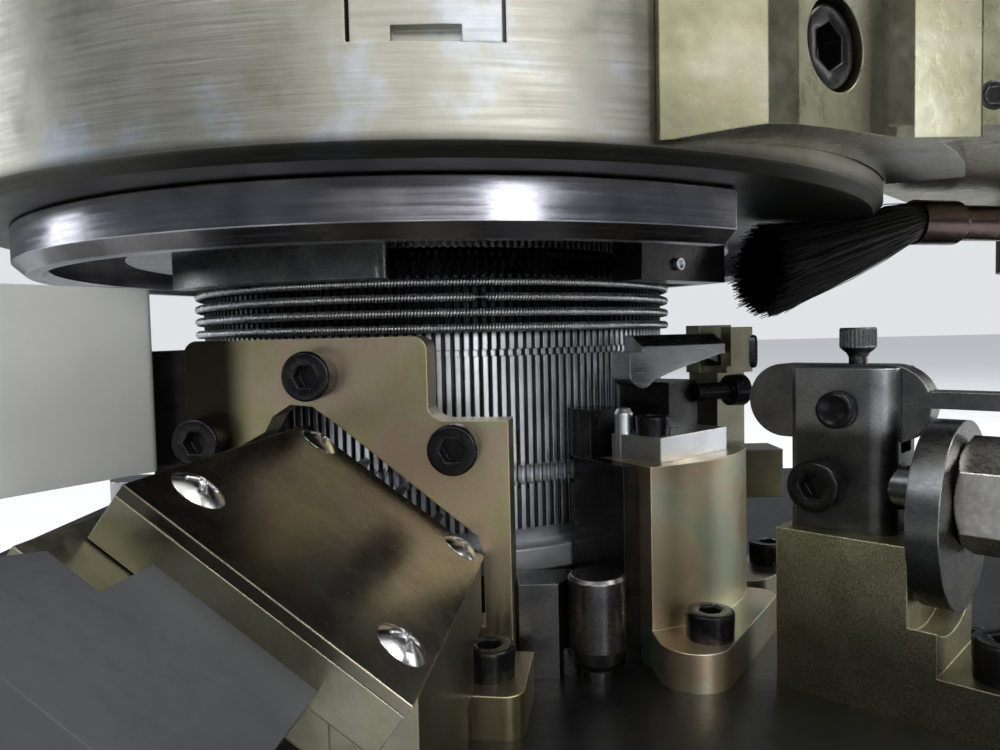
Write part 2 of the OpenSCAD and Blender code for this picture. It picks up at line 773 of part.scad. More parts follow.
module rocker() {
    color([0.5, 0.5, 0.49])
    on_adjuster() difference() {
        union() {
            translate([5.3, 6.75, 39.4]) rotate([-90, 0, 0]) linear_extrude(3.9) hull() {
                translate([-7.1, 0]) circle(5.3);
                translate([7.1, 0]) circle(5.3);
            }
            translate([14, 6.75, 39.1]) cube([20, 3.9, 2.2]);
        }
        translate([7.4, 0, pin_z]) rotate([-90, 0, 0]) cylinder(r = 2.45 + running_gap, h = 20);
        translate([7.9, 8.7, 42]) cylinder(r = 1.2 + running_gap, h = 5);
    }
}

module thumb_screw() {
    color([0.2, 0.2, 0.21])
    on_adjuster() translate([7.9, 8.7, 0]) rotate_extrude() polygon([
        [0, 42.3], [1.2, 42.3], [1.2, 45.6], [1.5, 46.2], [2.4, 46.9], [2.4, 49.7], [0, 49.7]]);
}

module adjuster_spindle() {
    color([0.62, 0.62, 0.63])
    on_adjuster() translate([0, spindle_y, spindle_z]) rotate([0, 90, 0]) union() {
        translate([0, 0, 8.6]) cylinder(r = spindle_r, h = 10);
        translate([eccentric_throw, 0, eccentric_x]) cylinder(r = eccentric_r, h = eccentric_t);
        translate([0, 0, eccentric_x + eccentric_t - 0.1]) cylinder(r = 4, h = 14);
    }
}

module lock_nut() {
    color([0.66, 0.67, 0.68])
    on_adjuster() translate([eccentric_x + eccentric_t, spindle_y, spindle_z]) rotate([0, 90, 0])
    difference() {
        cylinder(d = 13 / cos(30), h = 6.5, $fn = 6);
        translate([0, 0, -1]) cylinder(r = 4 + seat_gap, h = 9);
    }
}

picker_pivot = [-3, 0];
picker_pin_r = 1.2;

// Places its children at the picker's right end: x to the nose, y to the front
module on_picker() {
    translate(picker_at) rotate(picker_turn) children();
}

module picker_bracket() {
    color([0.5, 0.49, 0.38])
    difference() {
        union() {
            on_picker() {
                translate([-6.7, -5.4, -3.6]) cube([8.1, 3.1, 8.2]);
                translate([-6.7, 0.1, -3.6]) cube([5.4, 2.3, 7.8]);
                translate([-6.7, -5.4, -3.6]) cube([6.5, 7.8, 1.1]);
                translate([-10, -9, -46]) cube([7, 6.7, 46]);
                translate([picker_pivot[0], 1, picker_pivot[1]]) rotate([90, 0, 0])
                    cylinder(r = picker_pin_r, h = 4);
            }
            translate([54, -34, bed_z + 20]) cube([9, 8, 8.5]);
            translate([0, 0, bed_z]) linear_extrude(foot_t) hull() {
                translate(picker_foot_at) circle(5);
                translate([56.5, -31]) circle(5);
            }
        }
        translate([picker_foot_at[0], picker_foot_at[1], bed_z + foot_t]) screw_hole(m4, foot_t + 1);
    }
}

module picker_lever() {
    color([0.6, 0.61, 0.62])
    on_picker() difference() {
        union() {
            translate([0, 2.2, 0]) rotate([90, 0, 0]) linear_extrude(4.2) hull() {
                translate([picker_l, -2.4]) circle(2.7);
                translate([picker_l - 2.6, -0.4]) square([5.2, 1]);
            }
            rotate([90, 0, 90]) linear_extrude(picker_l) polygon([
                [-2, -0.2], [2.2, -0.2], [2.2, 1.4], [-0.4, 3.2], [-2, 3.2]]);
            translate([0, 2.2, 0]) rotate([90, 0, 0]) linear_extrude(4.2) polygon([
                [0, 0], [11, -2.4], [picker_l, -4.6], [picker_l, 0.2], [0, 0.2]]);
            translate([0, -0.3, 0]) rotate([90, 0, 0]) linear_extrude(1.7) hull() {
                translate(picker_pivot) circle(2.4);
                translate([0, -1.2]) square([1, 3]);
            }
        }
        translate([picker_pivot[0], 4, picker_pivot[1]]) rotate([90, 0, 0])
            cylinder(r = picker_pin_r + running_gap, h = 8);
    }
}

module column() {
    color([0.7, 0.71, 0.72])
    translate([column_x, column_y, 0]) rotate_extrude() polygon([
        [0, bed_z - bed_t], [column_r * 0.6, bed_z - bed_t], [column_r * 0.6, bed_z],
        [column_r, bed_z], [column_r, arm_top + 2], [column_r - 2, arm_top + 4],
        [0, arm_top + 4]]);
}

arm_z = disc_z + 6.5;
arm_top = arm_z + 26;
shelf_z = disc_z + 4.1;
shelf_t = 1.4;
clamp_low = disc_z + 1.8;
clamp_arch_r = 236;

module arm_shelf() {
    color([0.6, 0.6, 0.58])
    translate([0, 0, shelf_z]) linear_extrude(shelf_t)
        sector(disc_r + part_gap, disc_r + shelf_w, shelf_from, shelf_to);
}

// Arm from the column, whose end holds the disc's rim with a radial screw
module support_arm() {
    low = shelf_z + shelf_t;
    color([0.72, 0.66, 0.42])
    difference() {
        union() {
            difference() {
                translate([0, 0, clamp_low]) linear_extrude(disc_top + 6 - clamp_low)
                    polygon(clamp_points);
                translate([66, -50, clamp_low + 2.3 - clamp_arch_r]) rotate([90, 0, 0])
                    cylinder(r = clamp_arch_r, h = 50, $fn = 360);
            }
            translate([0, 0, low]) linear_extrude(arm_top - low) {
                polygon(arm_points);
                translate([column_x, column_y]) circle(column_boss_r);
            }
        }
        translate([0, 0, clamp_low - 1]) cylinder(r = disc_r + 0.1, h = 40);
        translate([column_x, column_y, low - 1]) cylinder(r = column_r + hole_gap, h = 40);
        on_clamp_screw() {
            cylinder(r = m6[1] + 0.5, h = 20);
            translate([0, 0, -5]) cylinder(r = m6[0] + hole_gap, h = 6);
        }
    }
}

// Outline of the arm's end, from the left of the clamp to the front of the arm
clamp_points = [[31.7, -78], [31.7, -83.5], [43.3, -84.8], [47.4, -82.8], [61.7, -73.2],
                [63.6, -72.3], [66, -72], [74.5, -72], [61.9, -59.8], [58, -56]];
arm_points = [[56, -60], [62, -73], [66, -72], [90, -71.5], [97, -69.3], [column_x + 14.7, column_y - 13.5],
              [column_x - 14.7, column_y + 13.5], [72.7, -36.8]];
column_boss_r = 20;
clamp_az = -56;
shelf_from = -44;
shelf_to = -27;

// Places its children on the clamp screw's head seat: z runs outwards
module on_clamp_screw() {
    rotate(clamp_az) translate([disc_r + 1, 0, clamp_screw_z]) rotate([0, 90, 0]) children();
}

clamp_screw_z = disc_z + 13.4;

module clamp_screws() {
    color([0.07, 0.07, 0.08])
    on_clamp_screw() cap_screw(m6, 10);
}

module head_disc() {
    color([0.62, 0.63, 0.58])
    difference() {
        rotate_extrude() polygon([
            [0, disc_z], [disc_r - disc_bevel, disc_z], [disc_r, disc_z + disc_bevel],
            [disc_r, disc_top - 0.8], [disc_r - 0.8, disc_top], [0, disc_top]]);
        translate([0, 0, disc_z - 1])
            cylinder(r = dial_shaft_r + bush_wall + seat_gap, h = disc_t + 2);
        translate([0, 0, recess_floor]) cylinder(r = recess_r, h = disc_t);
        translate([0, gear_centres, recess_floor]) cylinder(r = pinion_recess_r, h = disc_t);
        translate([0, gear_centres, disc_z - 1])
            cylinder(r = lay_shaft_r + bush_wall + seat_gap, h = disc_t + 2);
        translate([gate_x, 0, disc_top - gate_h]) translate([-gate_w / 2, -disc_r - 5, 0])
            cube([gate_w, gate_d + 5 + disc_r - gate_flat, gate_h + 1]);
        on_clamp_screw() translate([0, 0, -11]) cylinder(r = m6[0] + hole_gap, h = 12);
        for (a = gear_cover_screws) rotate(a) translate([cover_ring_r, 0, disc_top])
            screw_hole(m3, 8);
    }
}

gate_x = 6.4;
gate_flat = disc_r - 0.4;
gear_cover_screws = [20, 140, 220, 320];

module gate_block() {
    gap = 0.4;
    color([0.66, 0.66, 0.58])
    difference() {
        translate([gate_x, 0, disc_top - gate_h]) intersection() {
            translate([-gate_w / 2 + gap, -gate_flat, 0])
                cube([gate_w - 2 * gap, gate_d, gate_h]);
            translate([-gate_x, 0, 0]) cylinder(r = disc_r, h = gate_h);
        }
        translate([gate_x - 3.8, -disc_r - 1, disc_top - gate_h - 1]) cube([7.6, 3, 2.8]);
    }
}

module guard_ring() {
    color([0.78, 0.79, 0.81])
    difference() {
        rotate_extrude() polygon([
            [ring_r - ring_w, disc_z], [ring_r - ring_w, disc_z - ring_h + 1],
            [ring_r - ring_w + 1, disc_z - ring_h], [ring_r - 2, disc_z - ring_h],
            [ring_r, disc_z - ring_h + 1.9], [ring_r, disc_z - 0.4], [ring_r - 0.5, disc_z]]);
        translate([0, 0, disc_z - ring_h - 1]) linear_extrude(ring_h + 2)
            wedge(ring_r + 20, ring_gap_from, ring_gap_to);
    }
}

module sinker_cap() {
    color([0.3, 0.31, 0.32])
    translate([0, 0, disc_z - 4.2]) tube(cylinder_r + 1.9, sinker_cap_r, 4.2);
}

module arc_bracket() {
    color([0.2, 0.2, 0.21])
    translate([0, 0, disc_z - 10.7]) linear_extrude(6.5) union() {
        sector(53, 57, -136, -95);
        rotate(-95) translate([55, 0]) circle(2);
    }
}

module feeder_block() {
    color([0.18, 0.18, 0.19])
    translate([36, -48, disc_z - 11.2]) rotate(39.5) cube([22, 6, 7]);
}

module dial_bush() {
    color([0.72, 0.55, 0.3])
    translate([0, 0, disc_z])
        tube(dial_shaft_r + running_gap, dial_shaft_r + bush_wall, recess_floor - disc_z + 0.4);
}

module gear_cover() {
    color([0.35, 0.36, 0.36])
    translate([0, 0, disc_top]) linear_extrude(gear_cover_t) difference() {
        hull() {
            circle(cover_ring_r + 4);
            translate([0, gear_centres]) circle(pinion_recess_r + 1.5);
        }
        for (a = gear_cover_screws) rotate(a) translate([cover_ring_r, 0])
            circle(m3[0] + hole_gap);
        translate([0, gear_centres]) circle(lay_shaft_r + part_gap);
        translate([gate_x - gate_w / 2 - 1, -disc_r]) square([gate_w + 2, disc_r - gate_flat + gate_d + 8]);
    }
}

module brush_holder() {
    deep = 16;
    color([0.2, 0.2, 0.21])
    difference() {
        union() {
            translate([0, 0, brush_at[2] - 7]) linear_extrude(11.8) hull() {
                translate([column_x, column_y]) circle(column_r + 4);
                translate([column_x - 4, -7]) circle(8);
            }
        }
        translate([column_x, column_y, brush_at[2] - 8]) cylinder(r = column_r + hole_gap, h = 20);
        on_brush() translate([0, 0, rod_l / 2]) cylinder(r = brush_rod_r + running_gap, h = rod_l);
    }
}

// Places its children on the brush's rod: z runs out along the rod
module on_brush() {
    translate(brush_at) rotate([0, 90, brush_turn]) children();
}

ferrule_r = 4.2;
ferrule_l = 9;
rod_l = column_x - brush_at[0] + 16;

module brush_rod() {
    color([0.3, 0.2, 0.16])
    on_brush() rotate_extrude() polygon([
        [0, 0], [ferrule_r, 0], [ferrule_r, ferrule_l], [brush_rod_r, ferrule_l + 1],
        [brush_rod_r, rod_l], [0, rod_l]]);
}

module brush_bristles() {
    color([0.04, 0.04, 0.04])
    difference() {
        hull() {
            on_brush() translate([0, 0, -0.6]) cylinder(r = 4, h = 0.6, $fn = 16);
            translate([61.5, -29.3, disc_z - 9]) rotate([0, 90, brush_turn]) scale([0.92, 1, 1])
                cylinder(r = 9, h = 0.5, $fn = 16);
        }
        translate([0, 0, disc_z - part_gap]) cylinder(r = disc_r + part_gap, h = 10);
    }
}

module needle_cylinder() {
    color([0.62, 0.63, 0.65])
    difference() {
        union() {
            translate([0, 0, slotted_z]) linear_extrude(slotted_h)
                polygon(slotted_points(cylinder_r, trick_depth, trick_w));
            translate([0, 0, flange_z + flange_t])
                cylinder(r1 = cylinder_r - 1.4, r2 = cylinder_r, h = bevel_h);
        }
        translate([0, 0, flange_z]) cylinder(r = cylinder_bore_r, h = slotted_h + 20);
        translate([0, 0, slotted_top - wall_groove]) tube(cylinder_r - 0.7, cylinder_r + 1, 1.1);
    }
}

// Latch needle: stem, latch and hook, as an outline with x outwards and y up
function needle_outline(low, high) = [
    [floor_r, low], [floor_r + 1.6, low], [floor_r + 1.6, high - 3.4], [floor_r + 2.1, high - 3],
    [floor_r + 2.1, high - 2], [floor_r + 1.2, high - 2.4], [floor_r + 1.2, high - 0.9],
    [floor_r + 1.9, high - 0.9], [floor_r + 1.9, high - 1.5], [floor_r + 2.3, high - 1.5],
    [floor_r + 2.3, high - 0.4], [floor_r + 1.7, high], [floor_r + 0.9, high],
    [floor_r + 0.5, high - 0.6], [floor_r + 0.5, high - 5], [floor_r, high - 6]];

module each_trick(thick, offset_turn = 0) {
    for (k = [0:needle_count - 1]) rotate([90, 0, (k + offset_turn) * pitch_angle])
        translate([0, 0, -thick / 2]) linear_extrude(thick) children();
}

module needles() {
    color([0.8, 0.81, 0.83])
    each_trick(needle_t) polygon(needle_outline(butt_z + butt_h + 6, slotted_top + 3.4));
}

// Jack: flat strip in the foot of each trick, with the butt that the cams drive
module jacks() {
    out = cylinder_r + butt_out;
    color([0.7, 0.71, 0.72])
    each_trick(needle_t) polygon([
        [floor_r, slotted_z + 0.2], [cylinder_r + 0.1, slotted_z + 0.2], [cylinder_r + 0.1, butt_z - 1],
        [cylinder_r - 0.6, butt_z - 1], [cylinder_r - 0.6, butt_z], [out, butt_z],
        [out, butt_z + butt_h], [cylinder_r - 1, butt_z + butt_h], [cylinder_r - 1, butt_z + butt_h + 5.5],
        [floor_r, butt_z + butt_h + 5.5]]);
}

// Sinker: thin plate between two needles, with its throat and nib
module sinkers() {
    z = slotted_top;
    color([0.6, 0.61, 0.62])
    each_trick(sinker_t, 0.5) polygon([
        [cylinder_bore_r + 0.6, z], [cylinder_r, z], [cylinder_r - 0.2, z + 0.5],
        [cylinder_r - 2.8, z + 1.9], [cylinder_r - 4.4, z + 3.4], [cylinder_r - 5.2, z + sinker_h],
        [cylinder_r - 7, z + sinker_h], [cylinder_r - 7, z + sinker_h - 0.9],
        [cylinder_r - 8.2, z + sinker_h - 1.3], [cylinder_bore_r + 0.6, z + 1.6]]);
}

module garter_springs() {
    color([0.45, 0.46, 0.48])
    for (k = [0:spring_count - 1])
        translate([0, 0, spring_top_z - k * spring_pitch]) rotate_extrude()
            translate([spring_seat_r + hole_gap, 0]) circle(spring_d / 2, $fn = 24);
}

module cylinder_carrier() {
    color([0.75, 0.76, 0.77])
    rotate_extrude() polygon([
        [cylinder_bore_r, bottom_t + 3], [sleeve_r, bottom_t + 3], [sleeve_r, flange_z],
        [flange_r - 0.4, flange_z], [flange_r, flange_z + 0.4], [flange_r, flange_z + flange_t - 0.4],
        [flange_r - 0.4, flange_z + flange_t], [cylinder_bore_r, flange_z + flange_t]]);
}

module cylinder_gear() {
    color([0.5, 0.51, 0.52])
    translate([0, 0, gear_z]) spur_gear(wheel_teeth, sleeve_r + seat_gap, gear_t);
}

module drive_pinion() {
    color([0.6, 0.61, 0.62])
    translate([-gear_centres, 0, 0]) union() {
        translate([0, 0, gear_z - 1]) rotate(180 / pinion_teeth) linear_extrude(gear_t + 2)
            polygon(gear_points(pinion_teeth));
        translate([0, 0, shaft_end_z]) cylinder(r = drive_shaft_r, h = bed_z + 2 - shaft_end_z);
        translate([0, 0, bed_z + 1.9]) cylinder(r = drive_shaft_r - 1, h = take_off_l + 0.1);
    }
}

module lay_shaft() {
    color([0.6, 0.61, 0.62])
    translate([0, gear_centres, 0]) rotate_extrude() polygon([
        [0, shaft_end_z], [lay_shaft_r, shaft_end_z], [lay_shaft_r, drive_end_z], [drive_end_r, drive_end_z],
        [drive_end_r, drive_end_z + drive_end_l], [0, drive_end_z + drive_end_l]]);
}

module lay_pinions() {
    color([0.5, 0.51, 0.52])
    translate([0, gear_centres, 0]) {
        translate([0, 0, gear_z - 1]) spur_gear(pinion_teeth, lay_shaft_r + seat_gap, gear_t + 2);
        translate([0, 0, dial_gear_z]) spur_gear(pinion_teeth, lay_shaft_r + seat_gap, dial_gear_t);
    }
}

module dial() {
    hub_r = 14;
    color([0.6, 0.61, 0.62])
    difference() {
        union() {
            translate([0, 0, dial_z]) linear_extrude(dial_t)
                polygon(slotted_points(dial_r, 2, trick_w));
            translate([0, 0, dial_z]) cylinder(r = hub_r, h = disc_z - part_gap - dial_z);
        }
        translate([0, 0, dial_z - 1]) cylinder(r = dial_shaft_r + seat_gap, h = 20);
    }
}

module dial_shaft() {
    color([0.7, 0.71, 0.72])
    union() {
        translate([0, 0, dial_z]) cylinder(r = dial_shaft_r, h = dial_gear_z + dial_gear_t + 1.5 - dial_z);
        translate([0, 0, dial_z - 2]) cylinder(r = dial_shaft_r + 2, h = 2);
    }
}

module dial_gear() {
    color([0.5, 0.51, 0.52])
    translate([0, 0, dial_gear_z]) spur_gear(wheel_teeth, dial_shaft_r + seat_gap, dial_gear_t);
}

bed_plate();
gear_case();
bottom_cover();
case_screws();
sock_tube();
cylinder_bush();
shaft_bushes();
cam_plate();
raising_cam();
stitch_cam();
guide_post();
cam_tower();
tower_cap();
station_screws();
selector_bracket();
selector_case();
selector_cover();
cover_screws();
selector_housing();
side_cover();
adjuster_block();
adjuster_head();
adjuster_screws();
picker_bracket();
column();
support_arm();
arm_shelf();
clamp_screws();
head_disc();
gate_block();
guard_ring();
sinker_cap();
arc_bracket();
feeder_block();
dial_bush();
gear_cover();
brush_holder();
needle_cylinder();
needles();
jacks();
sinkers();
garter_springs();
cylinder_carrier();
cylinder_gear();
drive_pinion();
lay_shaft();
lay_pinions();
dial();
dial_shaft();
dial_gear();
picker_lever();
rocker();
thumb_screw();
adjuster_spindle();
lock_nut();
brush_rod();
brush_bristles();
selector_finger_1();
selector_finger_2();
selector_finger_3();
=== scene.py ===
"""Knitting head of a sock knitting machine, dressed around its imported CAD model. Metres throughout."""
import math

import bmesh
import bpy
import numpy as np
from mathutils import Matrix, Vector


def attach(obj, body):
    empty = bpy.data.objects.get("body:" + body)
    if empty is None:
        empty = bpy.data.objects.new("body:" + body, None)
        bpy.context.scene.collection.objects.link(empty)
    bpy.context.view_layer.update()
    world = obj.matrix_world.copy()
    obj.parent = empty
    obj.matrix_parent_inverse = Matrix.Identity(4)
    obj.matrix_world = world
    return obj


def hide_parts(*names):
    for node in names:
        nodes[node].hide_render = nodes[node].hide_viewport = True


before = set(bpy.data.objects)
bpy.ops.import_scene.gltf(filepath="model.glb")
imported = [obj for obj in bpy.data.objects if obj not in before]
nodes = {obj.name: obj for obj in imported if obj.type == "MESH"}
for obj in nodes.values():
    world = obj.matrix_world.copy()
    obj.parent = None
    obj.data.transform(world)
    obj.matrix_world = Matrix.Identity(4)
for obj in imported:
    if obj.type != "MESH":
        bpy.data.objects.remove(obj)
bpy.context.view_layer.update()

# The camera stands low in front of the head, level with the needle hooks, and looks slightly down.
# Its place and tilt come from the cylinder, the garter springs and the head disc in the photograph.
camera_place = Vector((0.01339, -0.1718, 0.094))
camera_down = 3.015
camera_roll = 1.318
lens_per_width = 0.78595
camera = bpy.data.objects.new("camera", bpy.data.cameras.new("camera"))
bpy.context.scene.collection.objects.link(camera)
camera.matrix_world = (Matrix.Translation(camera_place)
                       @ Matrix.Rotation(math.radians(90 - camera_down), 4, "X")
                       @ Matrix.Rotation(math.radians(-camera_roll), 4, "Z"))
camera.data.sensor_width = 36.0
camera.data.lens = 36.0 * lens_per_width
camera.data.clip_start = 0.005
bpy.context.scene.camera = camera
bpy.context.scene.view_settings.view_transform = "Standard"

# Studio: a pale floor under a dim dome, which looks pale to the camera alone, so that the oiled steel mirrors a
# dark room with a few soft windows in it, as it does in the photograph.
floor_z = -0.0005
floor_mesh = bpy.data.meshes.new("floor")
floor_mesh.from_pydata([(-6, -6, floor_z), (6, -6, floor_z), (6, 6, floor_z), (-6, 6, floor_z)], [], [(0, 1, 2, 3)])
floor = bpy.data.objects.new("floor", floor_mesh)
bpy.context.scene.collection.objects.link(floor)
floor_paint = bpy.data.materials.new("floor_paint")
floor_paint.use_nodes = True
tree = floor_paint.node_tree
paint = tree.nodes["Principled BSDF"]
paint.inputs["Base Color"].default_value = (0.70, 0.71, 0.72, 1)
paint.inputs["Roughness"].default_value = 0.7
glow = tree.nodes.new("ShaderNodeLightPath")
lift = tree.nodes.new("ShaderNodeMath")
lift.operation = "MULTIPLY"
lift.inputs[1].default_value = 0.42
tree.links.new(glow.outputs["Is Camera Ray"], lift.inputs[0])
paint.inputs["Emission Color"].default_value = (0.93, 0.96, 1.0, 1)
tree.links.new(lift.outputs[0], paint.inputs["Emission Strength"])
floor_mesh.materials.append(floor_paint)


def softbox(name, azimuth, elevation, distance, size, radiance, tint=(1, 1, 1)):
    """Rectangular lamp seen from the needle hooks at that azimuth and elevation, facing them.

    Its power is pi * area * radiance.
    """
    a, e = math.radians(azimuth), math.radians(elevation)
    middle = Vector((0.0, -0.03, 0.1))
    out = Vector((math.cos(e) * math.cos(a), math.cos(e) * math.sin(a), math.sin(e)))
    lamp = bpy.data.lights.new(name, "AREA")
    lamp.shape = "RECTANGLE"
    lamp.size, lamp.size_y = size
    lamp.energy = math.pi * size[0] * size[1] * radiance
    lamp.color = tint
    holder = bpy.data.objects.new(name, lamp)
    bpy.context.scene.collection.objects.link(holder)
    holder.matrix_world = (Matrix.Translation(middle + distance * out)
                           @ (-out).to_track_quat("-Z", "Y").to_matrix().to_4x4())


softbox("ceiling", -90, 80, 1.3, (1.6, 1.2), 1.3, (1.0, 1.0, 0.97))
softbox("front", -84, 24, 1.1, (0.95, 0.42), 2.0, (1.0, 0.99, 0.95))
softbox("front_window", -66, 10, 1.0, (0.17, 0.26), 8.0, (0.95, 0.97, 1.0))
softbox("right_high", -17, 50, 1.0, (0.30, 0.50), 9.0, (1.0, 0.99, 0.95))
softbox("right_window", 12, 16, 1.0, (0.30, 0.55), 5.0, (1.0, 0.99, 0.95))
softbox("left_high", -140, 44, 1.1, (0.6, 0.45), 3.0, (0.97, 0.98, 1.0))
softbox("left_window", 174, 12, 1.0, (0.22, 0.40), 5.0, (0.93, 0.96, 1.0))
softbox("back", 80, 36, 1.4, (1.2, 0.5), 1.6, (0.95, 0.97, 1.0))

world = bpy.data.worlds.new("studio")
bpy.context.scene.world = world
world.use_nodes = True
tree = world.node_tree
tree.nodes.clear()
out = tree.nodes.new("ShaderNodeOutputWorld")
dome = tree.nodes.new("ShaderNodeBackground")
dome.inputs["Color"].default_value = (0.86, 0.92, 1.0, 1)
dome.inputs["Strength"].default_value = 0.14
seen = tree.nodes.new("ShaderNodeBackground")
seen.inputs["Color"].default_value = (0.88, 0.90, 0.93, 1)
seen.inputs["Strength"].default_value = 0.85
path = tree.nodes.new("ShaderNodeLightPath")
mix = tree.nodes.new("ShaderNodeMixShader")
tree.links.new(path.outputs["Is Camera Ray"], mix.inputs[0])
tree.links.new(dome.outputs[0], mix.inputs[1])
tree.links.new(seen.outputs[0], mix.inputs[2])
tree.links.new(mix.outputs[0], out.inputs["Surface"])


# Metal faces: every plate, casting and shaft has its own colour clouds, tool marks and pits, with painted highlights
# on its edges and painted shade where given, made by the two functions that follow. Positions are in metres of the
# shared frame.
def metal(name, stops, cloud, roughness, grain=(900, 900, 900), slope=0.02, spread=0.05, edge=1.5, metallic=1.0,
          pits=0.0, around=False, fade=None, highlight_band=None):
    """Material of a machined, plated or painted face.

    stops are (position, colour) pairs that a noise of cloud metres runs through. grain counts the tool marks per
    metre along X, Y and Z, or along the turn, outwards and up where around is true. Roughness +- spread follows the
    marks, slope is their steepness, and pits that of grains of 0.2 mm, which sparkle. Edges are edge times brighter,
    a painted highlight. With fade = (axis, start, end, low) the colour falls to low times itself from start to end
    along that axis, which paints darkening: shade, and on the selector cover a dark reflection. With
    highlight_band = (axis, middle, half width, gain) it is gain times brighter in the middle of it, a painted
    highlight.
    """
    turn_radius, edge_radius = 0.08, 0.00025
    pit_count, sparkle_per_pit = 4200.0, 2.5
    material = bpy.data.materials.new(name)
    material.use_nodes = True
    tree = material.node_tree
    shader = tree.nodes["Principled BSDF"]
    shader.inputs["Metallic"].default_value = metallic
    link = tree.links.new

    def node(kind, inputs=(), **settings):
        made = tree.nodes.new("ShaderNode" + kind)
        for key, value in settings.items():
            setattr(made, key, value)
        for key, value in inputs:
            if hasattr(value, "is_linked"):
                link(value, made.inputs[key])
            else:
                made.inputs[key].default_value = value
        return made

    place = node("TexCoord").outputs["Object"]
    run = place
    if around:
        parts = node("SeparateXYZ", [(0, place)]).outputs
        turn = node("Math", [(0, parts[1]), (1, parts[0])], operation="ARCTAN2").outputs[0]
        arc = node("Math", [(0, turn), (1, turn_radius)], operation="MULTIPLY").outputs[0]
        flat = node("CombineXYZ", [(0, parts[0]), (1, parts[1])]).outputs[0]
        reach = node("VectorMath", [(0, flat)], operation="LENGTH").outputs["Value"]
        run = node("CombineXYZ", [(0, arc), (1, reach), (2, parts[2])]).outputs[0]
    stretch = node("Mapping", [("Vector", run), ("Scale", grain)]).outputs[0]
    marks = node("TexNoise", [("Vector", stretch), ("Scale", 1.0), ("Detail", 3.0)]).outputs["Fac"]
    clouds = node("TexNoise", [("Vector", place), ("Scale", 1 / cloud), ("Detail", 5.0), ("Roughness", 0.55)])
    ramp = node("ValToRGB", [(0, clouds.outputs["Fac"])])
    ramp.color_ramp.elements[0].position = stops[0][0]
    ramp.color_ramp.elements[0].color = (*stops[0][1], 1)
    ramp.color_ramp.elements[1].position = stops[-1][0]
    ramp.color_ramp.elements[1].color = (*stops[-1][1], 1)
    for position, colour in stops[1:-1]:
        ramp.color_ramp.elements.new(position).color = (*colour, 1)
    rounded = node("Bevel", [("Radius", edge_radius)], samples=4).outputs[0]
    facing = node("VectorMath", [(0, rounded), (1, node("NewGeometry").outputs["True Normal"])],
                  operation="DOT_PRODUCT").outputs["Value"]
    # Painted highlight: the colour is brighter on the rounded edges.
    painted_light_and_grain = node("MapRange", [(0, facing), (1, 0.995), (2, 0.9), (3, 1.0), (4, edge)]).outputs[0]
    # Painted shade: the colour falls along one axis.
    if fade:
        along = node("SeparateXYZ", [(0, place)]).outputs[fade[0]]
        ends = (fade[1], 1.0), (fade[2], fade[3])
        (low, first), (high, last) = sorted(ends)
        fall = node("MapRange", [(0, along), (1, low), (2, high), (3, first), (4, last)],
                    interpolation_type="SMOOTHSTEP").outputs[0]
        painted_light_and_grain = node("Math", [(0, painted_light_and_grain), (1, fall)], operation="MULTIPLY").outputs[0]
    # Painted highlight: the colour is brighter within a band.
    if highlight_band:
        along = node("SeparateXYZ", [(0, place)]).outputs[highlight_band[0]]
        off = node("Math", [(0, along), (1, highlight_band[1])], operation="SUBTRACT").outputs[0]
        away = node("Math", [(0, off)], operation="ABSOLUTE").outputs[0]
        peak = node("MapRange", [(0, away), (1, 0.0), (2, highlight_band[2]), (3, highlight_band[3]), (4, 1.0)],
                    interpolation_type="SMOOTHSTEP").outputs[0]
        painted_light_and_grain = node("Math", [(0, painted_light_and_grain), (1, peak)], operation="MULTIPLY").outputs[0]
    height = marks
    if pits:
        grains = node("TexNoise", [("Vector", place), ("Scale", pit_count), ("Detail", 1.0)]).outputs["Fac"]
        height = node("Math", [(0, grains), (1, pits / slope * max(grain) / pit_count), (2, marks)],
                      operation="MULTIPLY_ADD").outputs[0]
        swing = sparkle_per_pit * pits
        sparkle = node("MapRange", [(0, grains), (1, 0.3), (2, 0.7), (3, 1 - swing), (4, 1 + swing)]).outputs[0]
        painted_light_and_grain = node("Math", [(0, painted_light_and_grain), (1, sparkle)], operation="MULTIPLY").outputs[0]
    shade = node("VectorMath", [(0, ramp.outputs[0]), ("Scale", painted_light_and_grain)], operation="SCALE").outputs[0]
    link(shade, shader.inputs["Base Color"])
    gloss = node("MapRange", [(0, marks), (1, 0.3), (2, 0.7), (3, roughness - spread), (4, roughness + spread)])
    link(gloss.outputs[0], shader.inputs["Roughness"])
    relief = node("Bump", [("Height", height), ("Distance", slope / max(grain)), ("Normal", rounded)])
    link(relief.outputs[0], shader.inputs["Normal"])
    return material


def dress(material, *names):
    """Puts a material on CAD nodes."""
    for name in names:
        for slot in nodes[name].material_slots:
            slot.material = material


# Bed, gear case and covers: castings machined where they meet, black with oil. The bed's top mirrors the stations.
casting = metal("casting", [(0.35, (0.022, 0.023, 0.023)), (0.65, (0.045, 0.046, 0.045))], 0.02, 0.34,
                (700, 700, 700), 0.03, edge=2.2, metallic=0.8)
dress(casting, "bed_plate", "gear_case", "bottom_cover", "gear_cover", "brush_holder")
black_oxide = metal("black_oxide", [(0.4, (0.012, 0.012, 0.014)), (0.65, (0.026, 0.025, 0.026))], 0.004, 0.24,
                    (1500, 1500, 1500), 0.02, edge=3.5, metallic=0.7)
# The stitch cam and the raising cam are real parts, dressed black so that they also stand in for the shade beside the
# tower and left of the cam plate.
dress(black_oxide, "case_screws", "station_screws", "adjuster_screws", "clamp_screws", "feeder_block",
      "thumb_screw", "stitch_cam", "raising_cam")

